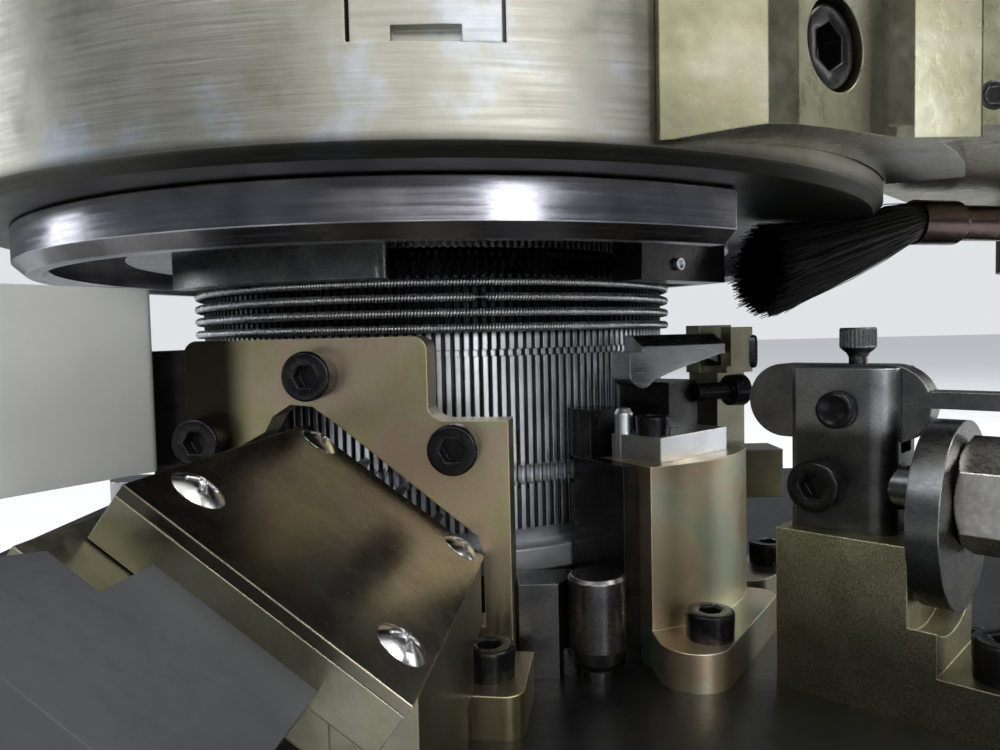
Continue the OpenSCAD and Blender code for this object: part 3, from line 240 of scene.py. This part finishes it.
# Drive under the bed and behind the cylinder: bronze bushes, ground shafts, cut steel gears and the tube that
# the sock leaves by. All of it turns in oil.
bronze = metal("bronze", [(0.4, (0.46, 0.30, 0.12)), (0.6, (0.56, 0.38, 0.18))], 0.008, 0.3, (200, 3000, 3000),
               around=True)
ground = metal("ground", [(0.4, (0.42, 0.43, 0.44)), (0.6, (0.54, 0.55, 0.56))], 0.012, 0.24, (300, 300, 5000))
gear_steel = metal("gear_steel", [(0.4, (0.17, 0.17, 0.17)), (0.6, (0.27, 0.27, 0.26))], 0.01, 0.32,
                   (2500, 2500, 400))
dress(bronze, "cylinder_bush", "shaft_bushes", "dial_bush")
dress(ground, "sock_tube", "drive_pinion", "lay_shaft", "dial_shaft", "column", "picker_lever",
      "lock_nut", "selector_finger_1", "selector_finger_2", "selector_finger_3")
dress(gear_steel, "cylinder_gear", "lay_pinions", "dial_gear", "dial")
dark_steel = metal("dark_steel", [(0.38, (0.12, 0.12, 0.125)), (0.62, (0.20, 0.20, 0.20))], 0.006, 0.30,
                   (1200, 1200, 5000), 0.03, edge=2.5)
# The adjuster head is painted darker towards its bottom: painted shade.
head_steel = metal("head_steel", [(0.38, (0.22, 0.22, 0.225)), (0.62, (0.34, 0.34, 0.345))], 0.005, 0.36,
                   (2600, 2600, 2600), 0.04, edge=2.2, pits=0.06, fade=(2, 0.0815, 0.0788, 0.30))
dress(dark_steel, "sinker_cap", "arc_bracket", "guide_post", "rocker", "adjuster_spindle")
dress(head_steel, "adjuster_head")

# Needle cylinder: turned steel with a trick milled for every needle. The trick walls are bright up to the springs
# and painted black behind them, and the needles painted darker there: painted shade. Needles and jacks are painted
# dark between the walls as shade, with a painted highlight on the jacks' butts.
wall_steel = metal("wall_steel", [(0.4, (0.66, 0.67, 0.70)), (0.6, (0.80, 0.81, 0.84))], 0.006, 0.32,
                   (1500, 1500, 300), edge=1.1, fade=(2, 0.0932, 0.0945, 0.012))
needle_steel = metal("needle_steel", [(0.4, (0.05, 0.05, 0.055)), (0.6, (0.10, 0.10, 0.10))], 0.006, 0.26,
                     (1500, 1500, 300), edge=1.5, fade=(2, 0.0925, 0.0945, 0.25))
flange_steel = metal("flange_steel", [(0.38, (0.68, 0.69, 0.70)), (0.62, (0.84, 0.85, 0.86))], 0.008, 0.48,
                     (200, 200, 3000), around=True)
dress(wall_steel, "needle_cylinder")
jack_steel = metal("jack_steel", [(0.4, (0.05, 0.05, 0.055)), (0.6, (0.08, 0.08, 0.085))], 0.006, 0.32,
                   (1500, 1500, 300), edge=1.4, highlight_band=(2, 0.0712, 0.0019, 11.0))
sinker_steel = metal("sinker_steel", [(0.4, (0.34, 0.34, 0.35)), (0.6, (0.46, 0.46, 0.47))], 0.006, 0.36,
                     (1500, 1500, 1500), edge=1.4)
dress(needle_steel, "needles")
dress(jack_steel, "jacks")
dress(sinker_steel, "sinkers")
dress(flange_steel, "cylinder_carrier")
oily_steel = metal("oily_steel", [(0.4, (0.10, 0.10, 0.105)), (0.6, (0.17, 0.17, 0.17))], 0.006, 0.24,
                   (1500, 1500, 1500), edge=1.6)
dress(oily_steel, "garter_springs")
spring_steel = metal("spring_steel", [(0.4, (0.72, 0.72, 0.74)), (0.6, (0.88, 0.88, 0.90))], 0.006, 0.30,
                     (1500, 1500, 1500), edge=1.0)

# Plates with a yellow zinc passivate: gold that runs to pink and green, brushed upright. The cam plate's left end
# is painted black as shade, the tower's face carries a painted highlight band, and the adjuster block was blasted
# before plating and is painted darker towards its bottom as shade.
yellow_zinc = metal("yellow_zinc", [(0.36, (0.42, 0.38, 0.21)), (0.47, (0.47, 0.41, 0.27)), (0.55, (0.50, 0.38, 0.29)),
                                    (0.66, (0.42, 0.43, 0.26))], 0.014, 0.36, (2200, 2200, 160), 0.02, edge=2.4,
                    pits=0.02,
                    fade=(0, -0.0220, -0.0265, 0.06))
tower_zinc = metal("tower_zinc", [(0.36, (0.46, 0.41, 0.25)), (0.47, (0.52, 0.41, 0.29)), (0.56, (0.52, 0.50, 0.38)),
                                  (0.64, (0.42, 0.48, 0.36))], 0.014, 0.42, (150, 150, 7000), 0.10, spread=0.03,
                   edge=1.9, highlight_band=(0, 0.0416, 0.0034, 1.95))
blasted_zinc = metal("blasted_zinc", [(0.38, (0.36, 0.34, 0.21)), (0.62, (0.48, 0.45, 0.30))], 0.006, 0.42,
                     (2600, 2600, 2600), 0.04, edge=2.2, pits=0.12, fade=(2, 0.0655, 0.050, 0.42))
arm_zinc = metal("arm_zinc", [(0.36, (0.22, 0.215, 0.14)), (0.52, (0.29, 0.28, 0.19)), (0.66, (0.36, 0.35, 0.27))],
                 0.012, 0.30, (500, 500, 500), 0.012, pits=0.012)
dress(yellow_zinc, "cam_plate")
dress(tower_zinc, "cam_tower")
dress(blasted_zinc, "adjuster_block")
dress(arm_zinc, "support_arm")

# Head disc and its gate: olive grey passivate with lilac blooms, turned on its rim. The ring under it is
# polished and smeared with oil.
# The disc and the gate block are painted dark along their lowest edge: painted shade under the disc.
disc_zinc = metal("disc_zinc", [(0.34, (0.30, 0.30, 0.25)), (0.45, (0.40, 0.39, 0.33)), (0.55, (0.44, 0.43, 0.38)),
                                (0.61, (0.48, 0.50, 0.52)), (0.72, (0.56, 0.61, 0.68))], 0.012, 0.42,
                  (120, 120, 2600), 0.06, around=True, fade=(2, 0.1162, 0.1142, 0.12))
olive_zinc = metal("olive_zinc", [(0.36, (0.22, 0.21, 0.14)), (0.64, (0.32, 0.31, 0.24))], 0.01, 0.33,
                   (900, 900, 900), 0.02, pits=0.012)
shelf_zinc = metal("shelf_zinc", [(0.36, (0.30, 0.30, 0.27)), (0.64, (0.42, 0.42, 0.40))], 0.006, 0.34,
                   (300, 3500, 3500), 0.04, around=True)
dress(disc_zinc, "head_disc", "gate_block")
dress(olive_zinc, "selector_bracket", "selector_case", "picker_bracket")
dress(shelf_zinc, "arm_shelf")
ring_steel = metal("ring_steel", [(0.38, (0.22, 0.215, 0.24)), (0.62, (0.36, 0.35, 0.39))], 0.01, 0.22,
                   (60, 1800, 1800), 0.008, spread=0.06, edge=3.0, around=True)
dress(ring_steel, "guard_ring")
cap_steel = metal("cap_steel", [(0.4, (0.70, 0.72, 0.76)), (0.6, (0.80, 0.82, 0.87))], 0.006, 0.34,
                  (1500, 1500, 1500), 0.015, edge=1.4)
dress(cap_steel, "tower_cap")

# Selector box: a polished cover, and paint on the housing and on the side cover.
# The polished cover is painted darker towards its left end: a painted dark reflection.
cover_steel = metal("cover_steel", [(0.36, (0.23, 0.21, 0.165)), (0.64, (0.36, 0.34, 0.26))], 0.014, 0.27,
                    (400, 400, 400), 0.004, spread=0.03, edge=3.0, fade=(0, 0.006, -0.006, 0.28))
screw_steel = metal("screw_steel", [(0.4, (0.50, 0.50, 0.52)), (0.6, (0.62, 0.62, 0.64))], 0.004, 0.2,
                    (900, 900, 900), 0.02)
dress(cover_steel, "selector_cover")
dress(screw_steel, "cover_screws")
grey_paint = metal("grey_paint", [(0.4, (0.86, 0.87, 0.84)), (0.6, (0.93, 0.93, 0.90))], 0.02, 0.42,
                   (800, 800, 800), 0.02, edge=1.1, metallic=0.0)
blue_grey = metal("blue_grey", [(0.4, (0.045, 0.048, 0.054)), (0.6, (0.058, 0.062, 0.070))], 0.02, 0.45,
                  (800, 800, 800), 0.02, edge=1.3, metallic=0.0)
dress(grey_paint, "side_cover")
dress(blue_grey, "selector_housing")
bristle = metal("bristle", [(0.4, (0.006, 0.006, 0.006)), (0.6, (0.014, 0.014, 0.014))], 0.004, 0.4, edge=1.0,
                metallic=0.0)
dress(bristle, "brush_bristles")
rod_metal = metal("rod_metal", [(0.4, (0.13, 0.095, 0.085)), (0.6, (0.18, 0.13, 0.12))], 0.01, 0.24,
                  (300, 300, 300))
dress(rod_metal, "brush_rod")


def closed_grid(rows, columns, ring=True):
    """Quads of a grid that closes on itself along its columns, and along its rows too where ring is true."""
    i, j = np.meshgrid(np.arange(rows if ring else rows - 1), np.arange(columns), indexing="ij")
    i2, j2 = (i + 1) % rows, (j + 1) % columns
    return np.stack([i * columns + j, i * columns + j2, i2 * columns + j2, i2 * columns + j], -1).reshape(-1, 4)


def surface(name, points, quads, material, body, sharp=35):
    """Mesh object from arrays of points and faces, riding on a body. Edges over sharp degrees stay crisp."""
    mesh = bpy.data.meshes.new(name)
    mesh.from_pydata(np.asarray(points).reshape(-1, 3).tolist(), [], [list(map(int, q)) for q in quads])
    work = bmesh.new()
    work.from_mesh(mesh)
    bmesh.ops.remove_doubles(work, verts=work.verts, dist=1e-7)
    bmesh.ops.recalc_face_normals(work, faces=work.faces)
    work.to_mesh(mesh)
    work.free()
    mesh.materials.append(material)
    mesh.shade_smooth()
    mesh.set_sharp_from_angle(angle=math.radians(sharp))
    piece = bpy.data.objects.new(name, mesh)
    bpy.context.scene.collection.objects.link(piece)
    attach(piece, body)
    return piece


# Four garter springs press the needles into their tricks: oiled wire wound into a long closed coil, whose ends
# hook together into a ring. The join of the second spring shows in front, where the coil narrows to its hooks.
spring_levels = (0.1023, 0.09988, 0.09746, 0.09504)
spring_ring = 0.048475
spring_wire = 0.00021
spring_coil = 0.00058
spring_turns = 600
turn_steps = 8
wire_sides = 5
join_angle = math.radians(-77.5)
join_width = 0.021


def garter_spring(height, shift, joined):
    """Coil bent into a ring: ring angle a, winding phase p = turns * a, wire section angle s.

    point = (R + c cos p) out + (z + c sin p) up + w (cos s (cos p out + sin p up) + sin s along), where c falls to
    a tenth within the join: c = coil (1 - 0.9 exp(-((a - a0) / width)^4)).
    """
    a = np.linspace(-np.pi, np.pi, spring_turns * turn_steps, endpoint=False)[:, None]
    s = np.linspace(0, 2 * np.pi, wire_sides, endpoint=False)[None, :]
    p = spring_turns * a + shift
    coil = spring_coil * (1 - 0.9 * joined * np.exp(-((a - join_angle) / join_width) ** 4))
    reach = spring_ring + (coil + spring_wire * np.cos(s)) * np.cos(p)
    rise = height + (coil + spring_wire * np.cos(s)) * np.sin(p)
    along = spring_wire * np.sin(s)
    return np.stack([reach * np.cos(a) - along * np.sin(a), reach * np.sin(a) + along * np.cos(a), rise + 0 * a], -1)


coils = [garter_spring(level, 0.7 * k, k == 1) for k, level in enumerate(spring_levels)]
faces = closed_grid(spring_turns * turn_steps, wire_sides)
step = len(coils[0].reshape(-1, 3))
springs = surface("garter_springs_wound", np.concatenate([c.reshape(-1, 3) for c in coils]),
                  np.concatenate([faces + k * step for k in range(len(coils))]), spring_steel,
                  "cylinder", sharp=180)
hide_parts("garter_springs")


# Socket head cap screws: turned heads with a rounded top edge and a hexagon socket. Each node's screws keep their
# places, given as matrices from the screw's own frame (its head stands on z = 0) to the shared one.
def hexagon(angle, flats):
    """Radius of a hexagon at an angle: r = flats / 2 / cos((angle mod 60) - 30), in degrees."""
    return flats / 2 / np.cos((angle % (np.pi / 3)) - np.pi / 6)


def cap_screw(place, size, length, columns=48):
    """Rings of a cap screw of size (shank radius, head radius, head height, flats) in mm, from socket to tip."""
    shank, head, high, flats = size
    angle = np.linspace(0, 2 * np.pi, columns, endpoint=False)
    edge = 0.13 * head
    turn = np.linspace(0, np.pi / 2, 5)[:, None]
    circle = np.ones(columns)
    rings = [(0 * circle, high * 0.45), (hexagon(angle, flats), high * 0.45),
             (hexagon(angle, flats), high - 0.12), (circle * (flats / 2 / np.cos(np.pi / 6) + 0.12), high)]
    rings += [(circle * (head - edge + edge * np.sin(t)), high - edge + edge * np.cos(t)) for t in turn[:, 0]]
    rings += [(circle * (head - 0.1), 0.0), (circle * shank, 0.0), (circle * shank, -length), (0 * circle, -length)]
    points = np.array([np.stack([r * np.cos(angle), r * np.sin(angle), z + 0 * angle], -1) for r, z in rings])
    matrix = np.array(place)
    return (points @ matrix[:3, :3].T + matrix[:3, 3]) / 1000


def at(x, y, z):
    return Matrix.Translation((x, y, z))


def turn(degrees, axis):
    return Matrix.Rotation(math.radians(degrees), 4, axis)


def screw_set(name, screws, material, body="frame"):
    """One object of several screws, which replaces the node of that name if there is one."""
    grids = [cap_screw(*screw) for screw in screws]
    points, quads, start = [], [], 0
    for grid in grids:
        quads.append(closed_grid(len(grid), grid.shape[1], ring=False) + start)
        points.append(grid.reshape(-1, 3))
        start += len(points[-1])
    piece = surface(name + "_turned", np.concatenate(points), np.concatenate(quads), material, body)
    if name in nodes:
        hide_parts(name)


m3, m4, m5, m6 = (1.5, 2.75, 3, 2.5), (2, 3.5, 4, 3), (2.5, 4.25, 5, 4), (3, 5, 6, 5)
bed_top, foot_high, foot_screw = 44, 5.6, 13.6
plate = turn(-8, "Z") @ at(0, -61.4, bed_top)
screw_set("station_screws",
          [(plate @ at(20.9, -7.4, foot_high), m4, foot_screw), (at(42.9, -60.4, bed_top + foot_high), m4, foot_screw),
           (at(63.5, -24.5, bed_top + foot_high), m4, foot_screw), (at(37, -50, 77.8), m3, 10.8),
           (at(52.9, -36, 83.3) @ turn(22, "Z") @ turn(90, "Y"), m3, 7)]
          + [(plate @ at(x, 0, z) @ turn(90, "X"), m4, 5.4) for x, z in ((-4.4, 44.7), (15.9, 34.4), (-21, 35.5))],
          black_oxide)
screw_set("clamp_screws", [(turn(-56, "Z") @ at(88.4, 0, 126.6) @ turn(90, "Y"), m6, 10)], black_oxide)
screw_set("case_screws",
          [(at(x, y, bed_top), m5, 42.5) for x, y in ((-82, -60), (-82, 82), (82, 82), (82, -60))]
          + [(turn(a, "Z") @ at(64, 0, 140.5), m3, 9.5) for a in (20, 140, 220, 320)], black_oxide)
screw_set("feeder_screw", [(at(42.9, -42.3, 104.7) @ turn(39.5, "Z") @ turn(90, "X"),
                            (0.6, 1.05, 0.8, 1.1), 1.0)], cap_steel)
screw_set("arm_plug", [(at(76, -71.79, 122.4) @ turn(1.2, "Z") @ turn(90, "X"), (1.6, 1.9, 0.1, 2.0), 2.0)],
          black_oxide)

# Adjuster: its pin, with a dished head, and two cap screws, then the spindle's thread and the chamfered lock nut
# on it, and the knurled thumb screw on top of the rocker.
adjuster = at(51.3, -63.8, bed_top) @ turn(-44, "Z")
pin_rings = ((0, -1.7), (1.5, -1.75), (1.9, -2.0), (2.2, -1.98), (2.42, -1.8), (2.45, -1.6), (2.45, 10.8),
             (2.25, 11.0), (0, 11.0))


def lathe(place, rings, columns=48, knurl=None):
    """Profile of (radius, height) pairs in mm turned about z: point = r (cos a, sin a), z.

    With knurl = (teeth, depth, low, high), r falls by depth |sin(teeth a / 2)| between those heights.
    """
    angle = np.linspace(0, 2 * np.pi, columns, endpoint=False)
    r = np.array([ring[0] for ring in rings])[:, None] * np.ones(columns)
    z = np.array([ring[1] for ring in rings])[:, None] + 0 * angle
    if knurl:
        r = r - knurl[1] * np.abs(np.sin(knurl[0] * angle / 2)) * ((z > knurl[2]) & (z < knurl[3]))
    points = np.stack([r * np.cos(angle), r * np.sin(angle), z], -1)
    matrix = np.array(place)
    return (points @ matrix[:3, :3].T + matrix[:3, 3]) / 1000


pieces = [cap_screw(adjuster @ at(5.3, 3, 28.6) @ turn(90, "X"), m4, 3),
          cap_screw(adjuster @ at(27, 5.6, 6.6), m5, 14.6),
          lathe(adjuster @ at(7.4, 3, 38.8) @ turn(-90, "X"), pin_rings)]
starts = np.cumsum([0] + [len(p.reshape(-1, 3)) for p in pieces])
adjuster_set = surface("adjuster_screws_turned", np.concatenate([p.reshape(-1, 3) for p in pieces]),
                       np.concatenate([closed_grid(len(p), p.shape[1], ring=False) + start
                                       for p, start in zip(pieces, starts)]), black_oxide, "frame")
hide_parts("adjuster_screws")

thumb_rings = ((0, 42.3), (1.15, 42.3), (1.2, 42.5), (1.2, 45.6), (1.5, 46.2), (2.0, 46.6), (2.3, 46.9),
               (2.4, 47.05), (2.4, 47.1), (2.4, 49.4), (2.4, 49.45), (2.25, 49.7), (1.3, 49.7), (1.25, 48.6),
               (0, 48.6))
thumb = lathe(adjuster @ at(7.9, 8.7, 0), thumb_rings, 168, (28, 0.16, 47.07, 49.42))
thumb = surface("thumb_screw_knurled", thumb, closed_grid(len(thumb), thumb.shape[1], ring=False), dark_steel,
                "thumb")
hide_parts("thumb_screw")


def hex_nut(place, flats, bore, high):
    """Hexagon nut chamfered at both ends: r(a, z) = min(hexagon(a), face + 1.73 d), d from the nearer end."""
    angle = np.linspace(0, 2 * np.pi, 96, endpoint=False)
    depth = np.concatenate([np.linspace(0, 0.9, 10), np.linspace(high - 0.9, high, 10)])
    inside = np.minimum(depth, high - depth)[:, None]
    face = flats / 2 - 0.35
    r = np.minimum(hexagon(angle, flats)[None, :], face + 1.73 * inside)
    z = depth[:, None] + 0 * angle
    r = np.concatenate([r, [bore + 0.35 + 0 * angle, bore + 0 * angle, bore + 0 * angle, bore + 0.35 + 0 * angle]])
    z = np.concatenate([z, [high + 0 * angle, high - 0.35 + 0 * angle, 0.35 + 0 * angle, 0 * angle]])
    points = np.stack([r * np.cos(angle), r * np.sin(angle), z], -1)
    matrix = np.array(place)
    return (points @ matrix[:3, :3].T + matrix[:3, 3]) / 1000


nut_place = adjuster @ at(21.7, 7, 28.5) @ turn(90, "Y")
nut_steel = metal("nut_steel", [(0.4, (0.40, 0.385, 0.35)), (0.6, (0.50, 0.485, 0.45))], 0.006, 0.28,
                  (1500, 1500, 1500), 0.02, edge=1.8)
nut = hex_nut(nut_place, 13, 4.02, 6.5)
nut = surface("lock_nut_chamfered", nut, closed_grid(len(nut), nut.shape[1]), nut_steel, "spindle",
              sharp=20)
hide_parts("lock_nut")


def thread(place, radius, pitch, low, high, depth=0.3):
    """Screw thread: r = radius + depth (1 - |2 f - 1|), f = frac(z / pitch - a / 2 pi), faded out at both ends."""
    angle = np.linspace(0, 2 * np.pi, 48, endpoint=False)
    z = np.linspace(low, high, int((high - low) / pitch * 8) + 1)[:, None]
    f = (z / pitch - angle / (2 * np.pi)) % 1.0
    fade = np.clip(np.minimum(z - low, high - z) / 0.5, 0, 1)
    r = radius + depth * fade * (1 - np.abs(2 * f - 1))
    r = np.concatenate([0 * angle[None], r, 0 * angle[None]])
    z = np.concatenate([[z[0]], z, [z[-1]]]) + 0 * angle
    points = np.stack([r * np.cos(angle), r * np.sin(angle), z], -1)
    matrix = np.array(place)
    return (points @ matrix[:3, :3].T + matrix[:3, 3]) / 1000


screw = thread(nut_place, 4.02, 1.25, 6.6, 14.05)
surface("spindle_thread", screw, closed_grid(len(screw), screw.shape[1], ring=False), ground,
        "spindle", sharp=180)

# Screws of the selector cover: countersunk, with a raised domed head and a cross recess.
def domed_screw(place, head=2.75, rise=1.0, shank=1.5, length=4.8, arm=1.7, half=0.34, columns=96):
    """Dome z = rise (1 - (r / head)^2), sunk by 0.9 (1 - (u / arm)^4) where the cross's arm is nearer than half.

    u is the distance along the nearer arm, whose arms lie at 30 and 120 degrees. Below the rim it is a cone.
    """
    angle = np.linspace(0, 2 * np.pi, columns, endpoint=False)
    r = np.linspace(0, head, 30)[:, None] * np.ones(columns)
    x, y = r * np.cos(angle - np.pi / 6), r * np.sin(angle - np.pi / 6)
    far, near = np.maximum(np.abs(x), np.abs(y)), np.minimum(np.abs(x), np.abs(y))
    sunk = np.clip((half - near) / 0.1, 0, 1) * np.clip(1 - (far / arm) ** 4, 0, 1)
    z = rise * (1 - (r / head) ** 2) - 0.9 * sunk
    below = ((head, -0.05), (shank, -1.2), (shank, -length), (0, -length))
    r = np.concatenate([r, np.array([[b[0]] for b in below]) + 0 * angle])
    z = np.concatenate([z, np.array([[b[1]] for b in below]) + 0 * angle])
    points = np.stack([r * np.cos(angle), r * np.sin(angle), z], -1)
    matrix = np.array(place)
    return (points @ matrix[:3, :3].T + matrix[:3, 3]) / 1000


cover = at(-3.94, -82.39, 72.55) @ turn(-6.65, "Z") @ turn(37, "Y")
domes = [domed_screw(cover @ at(x, y, 0)) for x in (-12.05, 12.05) for y in (-16.7, 16.7)]
dome_quads = closed_grid(len(domes[0]), domes[0].shape[1], ring=False)
domes = surface("cover_screws_domed", np.concatenate([d.reshape(-1, 3) for d in domes]),
                np.concatenate([dome_quads + k * domes[0].shape[0] * domes[0].shape[1] for k in range(4)]),
                screw_steel, "frame", sharp=30)
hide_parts("cover_screws")

# Stop of the picker lever: a small black block with rounded edges, which stands on the picker bracket's wall.
block_middle = np.array([56.6, -33.8, 89.9])
block_half = np.array([1.75, 1.6, 2.9])


def rounded_block(middle, half, power=7):
    """Superellipsoid: each coordinate is half sign(c) |c|^(2 / power) of a sphere's cos and sin products."""
    u = np.linspace(-np.pi / 2, np.pi / 2, 33)[:, None]
    v = np.linspace(-np.pi, np.pi, 64, endpoint=False)[None, :]
    bend = lambda c: np.sign(c) * np.abs(c) ** (2 / power)
    return (middle + half * np.stack([bend(np.cos(u)) * bend(np.cos(v)), bend(np.cos(u)) * bend(np.sin(v)),
                                      bend(np.sin(u)) + 0 * v], -1)) / 1000


stop = rounded_block(block_middle, block_half)
surface("picker_stop", stop, closed_grid(len(stop), stop.shape[1], ring=False), black_oxide, "frame")

# Round brush that sweeps the needle latches open: black nylon bristles crimped in the end of a steel rod.
# The tuft flares towards its tips, its upper side is pressed flat by the head disc, and a few bristles stray.
rng = np.random.default_rng(7)
bristle_count = 5200
stray_count = 14
ferrule = np.array([0.092, -0.022, 0.1132])
rod_turn = math.radians(14)
rod_line = np.array([math.cos(rod_turn), math.sin(rod_turn), 0.0])
rod_side = np.array([-rod_line[1], rod_line[0], 0.0])
tuft_tip = np.array([0.0605, -0.0296, 0.1042])
tuft_wide, tuft_high = 0.0090, 0.0080
hair_root, hair_tip = 0.00012, 0.00007
rest_under = 0.1127


def brush_hairs():
    """Bristles as three-sided tapered tubes: point(t) = root + t (tip - root) + 4 t (1 - t) bow, t from 0 to 1."""
    radius = np.sqrt(rng.random(bristle_count))
    angle = rng.random(bristle_count) * 2 * np.pi
    across, up = radius * np.cos(angle), radius * np.sin(angle)
    root = ferrule + 0.0037 * (across[:, None] * rod_side + up[:, None] * np.array([0, 0, 1.0]))
    jitter = rng.normal(0, 0.05, (bristle_count, 2))
    jitter[:stray_count] *= 4
    tip = (tuft_tip + (across + jitter[:, 0])[:, None] * tuft_wide * rod_side
           + (up + jitter[:, 1])[:, None] * tuft_high * np.array([0, 0, 1.0])
           + (rng.random(bristle_count) * 0.004 - 0.001)[:, None] * rod_line)
    bow = rng.normal(0, 0.0004, (bristle_count, 3))
    t = np.linspace(0, 1, 5)[None, :, None]
    line = root[:, None] + t * (tip - root)[:, None] + 4 * t * (1 - t) * bow[:, None]
    under = np.hypot(line[..., 0], line[..., 1]) < 0.0885
    line[..., 2] = np.where(under, np.minimum(line[..., 2], rest_under), line[..., 2])
    s = np.linspace(0, 2 * np.pi, 3, endpoint=False)
    thick = (hair_root + (hair_tip - hair_root) * t[..., 0])[..., None]
    ring = thick[..., None] * (np.cos(s)[:, None] * rod_side + np.sin(s)[:, None] * np.array([0, 0, 1.0]))
    points = line[:, :, None, :] + ring
    k, i, j = np.meshgrid(np.arange(bristle_count), np.arange(4), np.arange(3), indexing="ij")
    base = k * 15 + i * 3
    quads = np.stack([base + j, base + (j + 1) % 3, base + 3 + (j + 1) % 3, base + 3 + j], -1).reshape(-1, 4)
    return points, quads


points, quads = brush_hairs()
tuft = surface("brush_hairs", points, quads, bristle, "brush", sharp=180)
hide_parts("brush_bristles")
